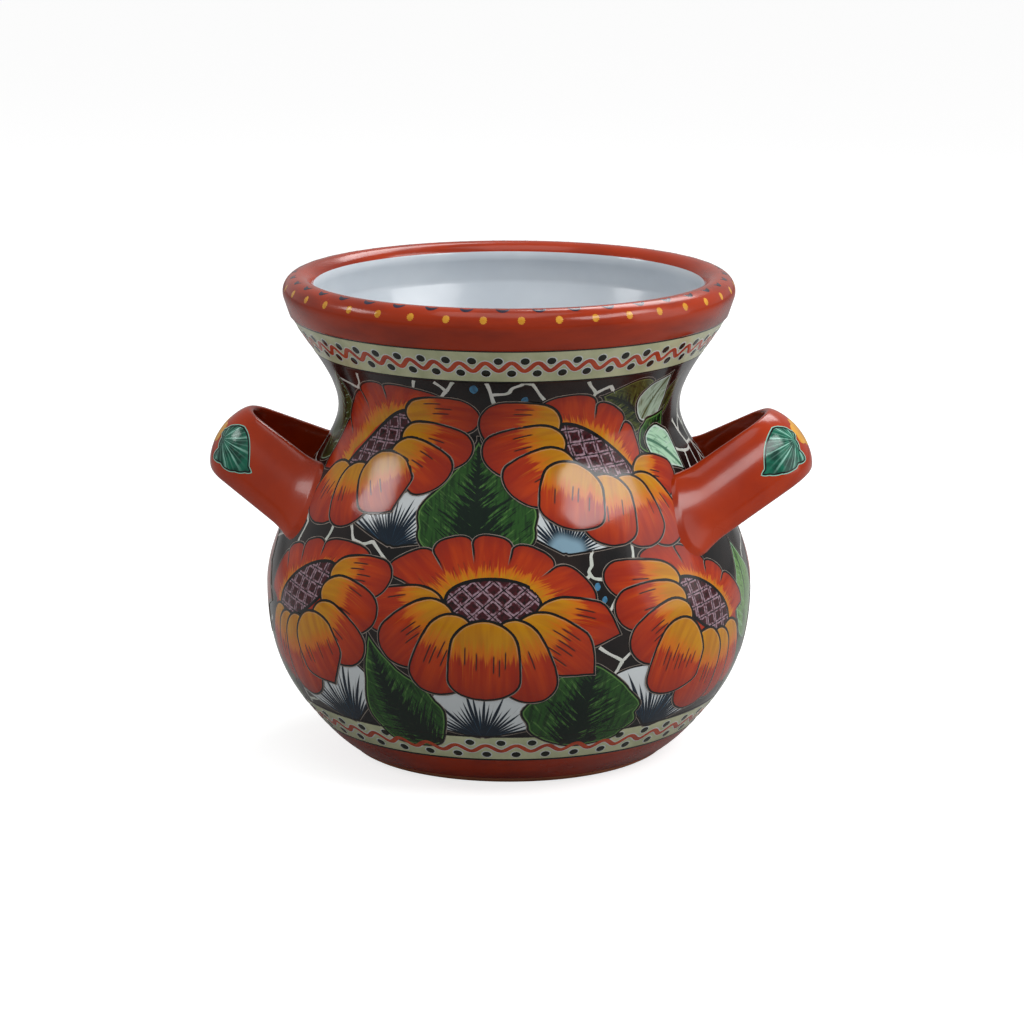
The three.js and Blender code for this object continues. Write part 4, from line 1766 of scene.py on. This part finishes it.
    def painted_coat(self, x: Numbers, y: Numbers, arm: float, values: dict[str, Numbers]) -> Surface:
        """A coat on the strap's outer face.

        Args:
            x: places towards the tip, with the outline in the last row.
            y: places up the strap.
            arm: 1 for one arm, -1 for the other.
            values: what is painted on the points.

        Returns:
            The closed coat.
        """
        flat = as_points(x, y)
        edge = distance_to(flat[-1], flat.reshape(-1, 2)).reshape(x.shape)
        rise = self.coat_lift + self.coat_rise * (1 - np.exp(-edge / EDGE_SOFTNESS))
        along = np.clip(y / (self.width / 2), -0.98, 0.98)
        out = self.crowned(np.sqrt(1 - np.abs(along) ** 3) ** (2 / 3), along)
        grids = [self.placed_points(-arm * x, out + lift, y) for lift in (rise, COAT_BACK)]
        return slab(*grids, {**values, "edge": edge})

    def leaf(self, arm: float) -> Surface:
        """A lobed leaf on an arm, whose stem is towards the tip: a fan over its outline.

        The outline bulges between its corners, as half a sine.

        Args:
            arm: 1 for one arm, -1 for the other.

        Returns:
            The closed coat.
        """
        corners = np.array(self.leaf_corners)
        at = np.linspace(0, len(corners) - 1, 6 * (len(corners) - 1) + 1)
        outline = followed(corners, at)
        bulge = self.leaf_bulge * np.abs(np.sin(np.pi * at))[:, None]
        outline += bulge * outline / np.hypot(*outline.T)[:, None]
        share = np.linspace(0.02, 1, 14)[:, None]
        tips = self.leaf_stretch * outline[:, 0]
        x, y = self.leaf_middle + share * (tips - self.leaf_middle), share * outline[:, 1]
        ahead, beside = x - self.stem[0], y - self.stem[1]
        reach = np.hypot(ahead, beside) / self.vein_reach
        values = {"angle": np.arctan2(beside, -ahead) + 0.1, "along": reach}
        return self.painted_coat(x - self.leaf_at, y, arm, values)

    def rosette(self) -> Surface:
        """A small round flower on the tip: a fan whose radius swells once for each petal.

        Returns:
            The closed coat.
        """
        around = np.linspace(0, 2 * np.pi, 10 * self.rosette_petals + 1)
        swelled = 0.82 + 0.18 * np.abs(np.sin(self.rosette_petals * around / 2))
        x, y = fan(np.linspace(0.03, 1, 7)[:, None], self.rosette_size * swelled, around)
        return self.painted_coat(x, self.rosette_rise + y, 1.0, {})

    def build(self, palette: Palette) -> None:
        """Puts the strap, its leaves and its rosette in the scene.

        Args:
            palette: the finishes by name.
        """
        strap = self.strap().placed(f"{self.name}_strap", palette["orange_glaze"], "orange_glaze")
        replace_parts(strap, self.node)
        leaves = Surface.joined([self.leaf(1.0), self.leaf(-1.0)])
        leaves.placed(f"{self.name}_leaves", palette["teal_glaze"], "orange_glaze")
        self.rosette().placed(f"{self.name}_rosette", palette["yellow_dot"], "orange_glaze")


@dataclass
class Painting:
    """The painted wall: where each flower, leaf, tuft, crackle line and dab lies."""

    upper: tuple[tuple[Flower, float, float], ...] = (
        (TURNED_RIGHT, -41.6, 174.8),
        (TURNED_LEFT, 35.6, 171.4),
    )
    lower: tuple[tuple[Flower, float, float], ...] = (
        (LEANING_RIGHT, -48.4, 98.2),
        (LEANING_LEFT, 57.5, 94.0),
        (FULL_FACE, 2.6, 107.1),
        (LEANING_RIGHT, 108.3, 97.0),
        (LEANING_LEFT, 209.9, 95.0),
        (FULL_FACE, 159.1, 106.0),
        (FULL_FACE, 260.8, 104.0),
    )
    front_lines: tuple[Rows, ...] = (
        ((-15.7, 210), (-12.6, 205), (-9.8, 211)), ((-12.6, 205), (-14.7, 201), (-15.0, 190)),
        ((-0.2, 211), (1.7, 199), (2.0, 188)), ((1.2, 204), (6.5, 206), (10.4, 211)),
        ((10.4, 211), (12.9, 210), (16.9, 201)), ((29.5, 210), (33, 203), (32.4, 198)),
        ((33, 203), (37.6, 206), (42.0, 198)), ((28.6, 130), (26.6, 122), (25.9, 117)),
        ((22.5, 111), (25.9, 117), (29.6, 114)), ((38.8, 131), (37.3, 119)), ((31.6, 104), (28.6, 92)),
        ((27.0, 81), (32.9, 72.5), (36.4, 79)), ((32.9, 72.5), (30.6, 64)),
        ((-40.0, 140), (-38.8, 135), (-36.5, 128), (-33.0, 120)), ((-45.4, 134), (-47.2, 122)),
        ((-59.1, 119), (-57.8, 130), (-60.0, 138)), ((-36.5, 128), (-33.5, 127), (-30.1, 129), (-25, 121)),
        ((-57, 42), (-57, 34)), ((-57, 36), (-48.3, 40)), ((-22.0, 210), (-25.0, 202)),
        ((76.0, 179), (80.0, 172), (83.5, 165), (82.0, 155)), ((83.5, 165), (89.0, 165), (97.0, 156)),
        ((80.0, 172), (84.0, 180)), ((83.0, 163), (77.0, 163), (71.0, 166)), ((77.0, 163), (74.0, 154)),
        ((-44.0, 209), (-48.0, 200), (-60.0, 203)), ((62.0, 40), (66.0, 48), (74.0, 50)),
        ((66.0, 48), (62.0, 58)), ((-70.0, 140), (-74.0, 130), (-82.0, 134)), ((-74.0, 130), (-70.0, 118)),
    )
    upper_motifs: tuple[Leaf | Tuft, ...] = (
        Leaf("middle_leaf", (-2.1, 118), (-3.6, 182), 66, "leaf_glaze", widest=0.42, tip_round=0.7),
        Leaf("moss_leaf", (57.0, 181), (34.5, 201), 36, "moss_glaze", -4, 0.05, 0.55, 1),
        Leaf("brushed_leaf", (54.5, 183), (63.5, 209), 27, "brushed_glaze", 0, 0.095, 0.55, 2),
        Leaf("narrow_leaf", (66.0, 183), (72.0, 207), 12, "moss_glaze", 0, 0.07, 0.5, 1),
        Leaf("side_leaf", (52.0, 171), (68.0, 189), 20, "leaf_glaze", -3, 0.125, 0.55),
        Leaf("mint_leaf", (55.5, 175), (70.5, 154), 24, "mint_glaze", 4, 0.165, 0.5),
        Leaf("grass_leaf", (-72.0, 156), (-58.0, 210), 31, "olive_glaze", 0, 0.07, 0.5, 2),
        Tuft("left_tuft", (-25.0, 127), 12.0, 160.0, 34.0),
        Tuft("right_tuft", (20.3, 126), 5.0, 150.0, 32.0, 1.0),
    )
    lower_leaves: tuple[Leaf, ...] = (
        Leaf("left_leaf", (-12.0, 26), (-28.0, 88), 44, "leaf_glaze", 5, widest=0.35, tip_round=0.7),
        Leaf("right_leaf", (22.0, 25), (26.5, 73), 66, "leaf_glaze", widest=0.6, lobes=4, pointed=False),
        Leaf("rim_leaf", (83.0, 62), (77.0, 120), 34, "bright_glaze", widest=0.5, lobes=4),
    )
    lower_tufts: tuple[Tuft, ...] = (
        Tuft("middle_tuft", (-0.6, 31), 15.0, 165.0, 36.0),
        Tuft("far_left_tuft", (-37.0, 31), 45.0, 165.0, 42.0),
        Tuft("far_right_tuft", (43.9, 30), 15.0, 130.0, 46.0),
    )
    blue_spots: Rows = ((-4.1, 207, 5.5), (10.9, 201, 4.5), (27.3, 111, 4.0), (28.7, 104.5, 3.5))
    line_width: float = 1.7
    line_lift: float = 0.06
    dab_lift: float = 0.05
    lower_turns: tuple[float, ...] = (0.0, 106.5, 157.3, 208.0, 258.8)  # where the lower leaves stand again
    ground: tuple[float, float] = (33.3, 210.8)  # heights between which lines are drawn
    net_start: tuple[float, float] = (62.0, 18.0)  # azimuth and height, as in the next four
    net_step: tuple[float, float] = (360 / 27, 21.0)
    net_wander: tuple[float, float] = (4.2, 6.5)
    net_low: tuple[float, float] = (82.0, 36.0)
    net_high: tuple[float, float] = (288.0, 206.0)

    def net(self) -> list[Numbers]:
        """Crackle lines round the sides and back.

        Points are scattered about a triangular net. A line joins the middles of two triangles with one side
        in common, so that three lines meet at each middle.

        Returns:
            The lines, each as two places of azimuth and height.
        """
        random = np.random.default_rng(4)
        row, column = np.meshgrid(np.arange(11), np.arange(30), indexing="ij")
        round_pot, upwards = (random.uniform(-wander, wander, row.shape) for wander in self.net_wander)
        azimuth = self.net_start[0] + self.net_step[0] * (column + 0.5 * (row % 2)) + round_pot
        point = as_points(azimuth, self.net_start[1] + self.net_step[1] * row + upwards)
        odd = row[:-1, :1, None] % 2
        low, low_next = point[:-1, :-2], point[:-1, 1:-1]
        high, high_next = point[1:, :-2], point[1:, 1:-1]
        upward = (low + low_next + np.where(odd, high_next, high)) / 3
        downward = (high + high_next + np.where(odd, low, low_next)) / 3
        pairs = [
            (upward, downward),
            (upward[::2, 1:], downward[::2, :-1]),
            (upward[1::2, :-1], downward[1::2, 1:]),
            (upward[1:], downward[:-1]),
        ]
        lines = np.concatenate([np.stack(pair, axis=-2).reshape(-1, 2, 2) for pair in pairs])
        middle = lines.mean(axis=1)
        return list(lines[((middle > self.net_low) & (middle < self.net_high)).all(axis=1)])

    def crackle(self) -> Surface:
        """All crackle lines: the ones that the front shows, and the net of them elsewhere.

        Returns:
            One surface.
        """
        random = np.random.default_rng(11)
        parts = []
        for k, line in enumerate([np.array(line) for line in self.front_lines] + self.net()):
            line = as_points(line[:, 0], FORM.length_at(np.clip(line[:, 1], *self.ground)))
            at = np.linspace(0, len(line) - 1, 7 * (len(line) - 1) + 1)
            path = followed(line, at)
            path += (np.sin(np.pi * at) * np.sin(1.9 * at + k))[:, None] * random.normal(0, 0.5, 2)
            width = self.line_width + 0.25 * np.cos(2 * np.pi * at) + random.uniform(-0.15, 0.25)
            parts.append(stroke(path, width, self.line_lift))
        return Surface.joined(parts)

    def dabs(self) -> Surface:
        """Blue dabs on the ground, each a small uneven oval, at the front and again at the back.

        Returns:
            One surface.
        """
        parts = []
        for azimuth, height, tall in self.blue_spots:
            ends, shape = ((0, -tall / 2), (1.0, tall / 2)), {"bend": 0.4, "widest": 0.5, "tip_share": 0.7}
            oval = Blade(*ends, 0.8 * tall, **shape, base_round=0.5, tip_round=0.5).patch()
            for turn in (0.0, 180.0):
                parts.append(oval.coat(WallSpot(azimuth + turn, height), self.dab_lift, azimuth))
        return Surface.joined(parts)

    def build(self, palette: Palette) -> None:
        """Paints the front as the sample shows it, and the back with the same motifs.

        The last value of each call makes one motif's brushwork differ from the next one's.

        Args:
            palette: the finishes by name.
        """
        self.crackle().placed("crackle", palette["crackle_line"])
        self.dabs().placed("blue_dabs", palette["blue_dab"])
        number = 0
        for side, turn in (("front", 0.0), ("back", 180.0)):
            for flower, azimuth, height in self.upper:
                number += 1
                spot = WallSpot(azimuth + turn, height)
                flower.paint(f"{side}_upper_{number}", spot, palette, 5.17 * number)
            for motif in self.upper_motifs:
                number += 1
                motif.paint(f"{side}_{motif.name}", turn, palette, 3.31 * number)
        for flower, azimuth, height in self.lower:
            number += 1
            flower.paint(f"lower_flower_{number}", WallSpot(azimuth, height), palette, 7.93 * number)
        for k, turn in enumerate(self.lower_turns):
            for motif in self.lower_leaves[: 2 if k else 3] + self.lower_tufts[: 1 if k else 3]:
                number += 1
                motif.paint(f"{motif.name}_{k}", turn, palette, 2.77 * number)


@dataclass(frozen=True)
class Studio:
    """Camera and light: the camera's place is where the photograph was taken from."""

    azimuth: float = 6.2
    pitch: float = 12.88
    distance: float = 2.0
    target_height: float = 0.12298
    lens: float = 134.0
    sensor: float = 36.0
    shift: float = 0.00296
    ambient: float = 0.4
    floor_glow: float = 0.75
    floor_tone: float = 0.38  # what the pot sees: a darker floor keeps its reflection out of dark glazes
    seen_tone: float = 0.5
    lamp_distance: float = 1.6
    lamp_target: float = 0.12
    lamps: tuple[tuple[str | float, ...], ...] = (  # name, azimuth, pitch, metres wide and tall, watts
        ("left_lamp", -82.0, 34.0, 0.5, 0.35, 4.0),
        ("right_lamp", 70.0, 44.0, 1.1, 0.45, 12.0),
        ("side_lamp", 88.0, 14.0, 1.0, 1.0, 4.0),
        ("top_lamp", -12.0, 80.0, 1.0, 1.0, 5.0),
        ("back_lamp", 160.0, 48.0, 0.8, 0.6, 9.0),
    )

    def aimed(self, data: bpy.types.ID, azimuth: float, pitch: float, away: float, height: float) -> None:
        """Adds a camera or lamp that faces a point on the pot's axis.

        Args:
            data: its settings, which also name it.
            azimuth: degrees from the front towards the right handle.
            pitch: degrees up from level.
            away: its distance.
            height: the point's height.
        """
        turn, rise = math.radians(azimuth), math.radians(pitch)
        back = Vector((math.sin(turn) * math.cos(rise), -math.cos(turn) * math.cos(rise), math.sin(rise)))
        placed = bpy.data.objects.new(data.name, data)
        placed.location = Vector((0, 0, height)) + away * back
        placed.rotation_euler = (-back).to_track_quat("-Z", "Y").to_euler()
        bpy.context.scene.collection.objects.link(placed)

    def world(self) -> None:
        """Soft light from all round, with plain white behind the pot."""
        world = bpy.data.worlds.new("world")
        world.use_nodes = True
        bpy.context.scene.world = world
        tree = world.node_tree
        background = tree.nodes["Background"]
        path = tree.nodes.new("ShaderNodeLightPath")
        strength = tree.nodes.new("ShaderNodeMapRange")
        tree.links.new(path.outputs["Is Camera Ray"], strength.inputs["Value"])
        strength.inputs["To Min"].default_value, strength.inputs["To Max"].default_value = self.ambient, 1.0
        tree.links.new(strength.outputs["Result"], background.inputs["Strength"])
        background.inputs["Color"].default_value = (1, 1, 1, 1)

    def floor(self) -> None:
        """A plain pale floor under the pot, which the camera sees as nearly white with the pot's shadow."""
        recipe = Recipe("floor_plain")
        seen = recipe.node("LightPath", "Is Camera Ray", {})
        tone = seen * (self.seen_tone - self.floor_tone) + self.floor_tone
        glow = {"Emission Color": (1, 1, 1, 1), "Emission Strength": seen * self.floor_glow}
        mesh = bpy.data.meshes.new("floor")
        mesh.from_pydata([(-9, -5, 0), (9, -5, 0), (9, 13, 0), (-9, 13, 0)], [], [(0, 1, 2, 3)])
        mesh.materials.append(recipe.shade({"Roughness": 0.9, "Base Color": tone, **glow}))
        floor = bpy.data.objects.new("floor", mesh)
        floor.location.z = -0.0005
        bpy.context.scene.collection.objects.link(floor)
        floor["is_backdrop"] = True

    def build(self) -> None:
        """Adds the camera, the world, the floor and the lamps."""
        bpy.context.scene.view_settings.view_transform = "Standard"
        camera = bpy.data.cameras.new("camera")
        camera.lens, camera.sensor_width, camera.shift_x = self.lens, self.sensor, self.shift
        self.aimed(camera, self.azimuth, self.pitch, self.distance, self.target_height)
        bpy.context.scene.camera = bpy.data.objects["camera"]
        self.world()
        self.floor()
        for name, azimuth, pitch, wide, tall, power in self.lamps:
            light = bpy.data.lights.new(name, "AREA")
            light.shape, light.size, light.size_y, light.energy = "RECTANGLE", wide, tall, power
            self.aimed(light, azimuth, pitch, self.lamp_distance, self.lamp_target)


def write_size(before: Sequence[Vector], after: Sequence[Vector]) -> None:
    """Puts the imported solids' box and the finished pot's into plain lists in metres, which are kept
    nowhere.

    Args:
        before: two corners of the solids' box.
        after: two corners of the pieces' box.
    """
    boxes = {"solids": before, "pieces": after}
    plain = {name: [[float(c) for c in corner] for corner in box] for name, box in boxes.items()}


def main() -> None:
    """Loads the frame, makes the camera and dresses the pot."""
    logging.basicConfig(level=logging.INFO, format="%(message)s")
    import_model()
    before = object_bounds()
    Studio().build()
    palette = {glaze.name: glaze.mixed() for glaze in GLAZES}
    body = GlazedBody()
    body.build(palette)
    upper = {"low": body.upper_border_foot, "high": body.upper_border_top, "waves": 52}
    Border("upper", **upper, swing=2.7, dot_offset=4.2).build(palette)
    lower = {"low": body.foot_band_top, "high": body.lower_border_top, "waves": 44}
    Border("lower", **lower, swing=2.4, dot_offset=5.1).build(palette)
    RimDrawing().build(palette)
    right = {"side": 1.0, "tilt": 31.0, "root_rise": 10.0, "tip_radius": 26.0, "half_span": 39.0}
    StrapHandle("right_handle", "handle_right", **right).build(palette)
    left = {"side": -1.0, "tilt": 27.5, "root_rise": 7.5, "tip_radius": 18.5, "half_span": 34.5}
    StrapHandle("left_handle", "handle_left", **left).build(palette)
    Painting().build(palette)
    write_size(before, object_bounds())


if __name__ == "__main__":
    main()
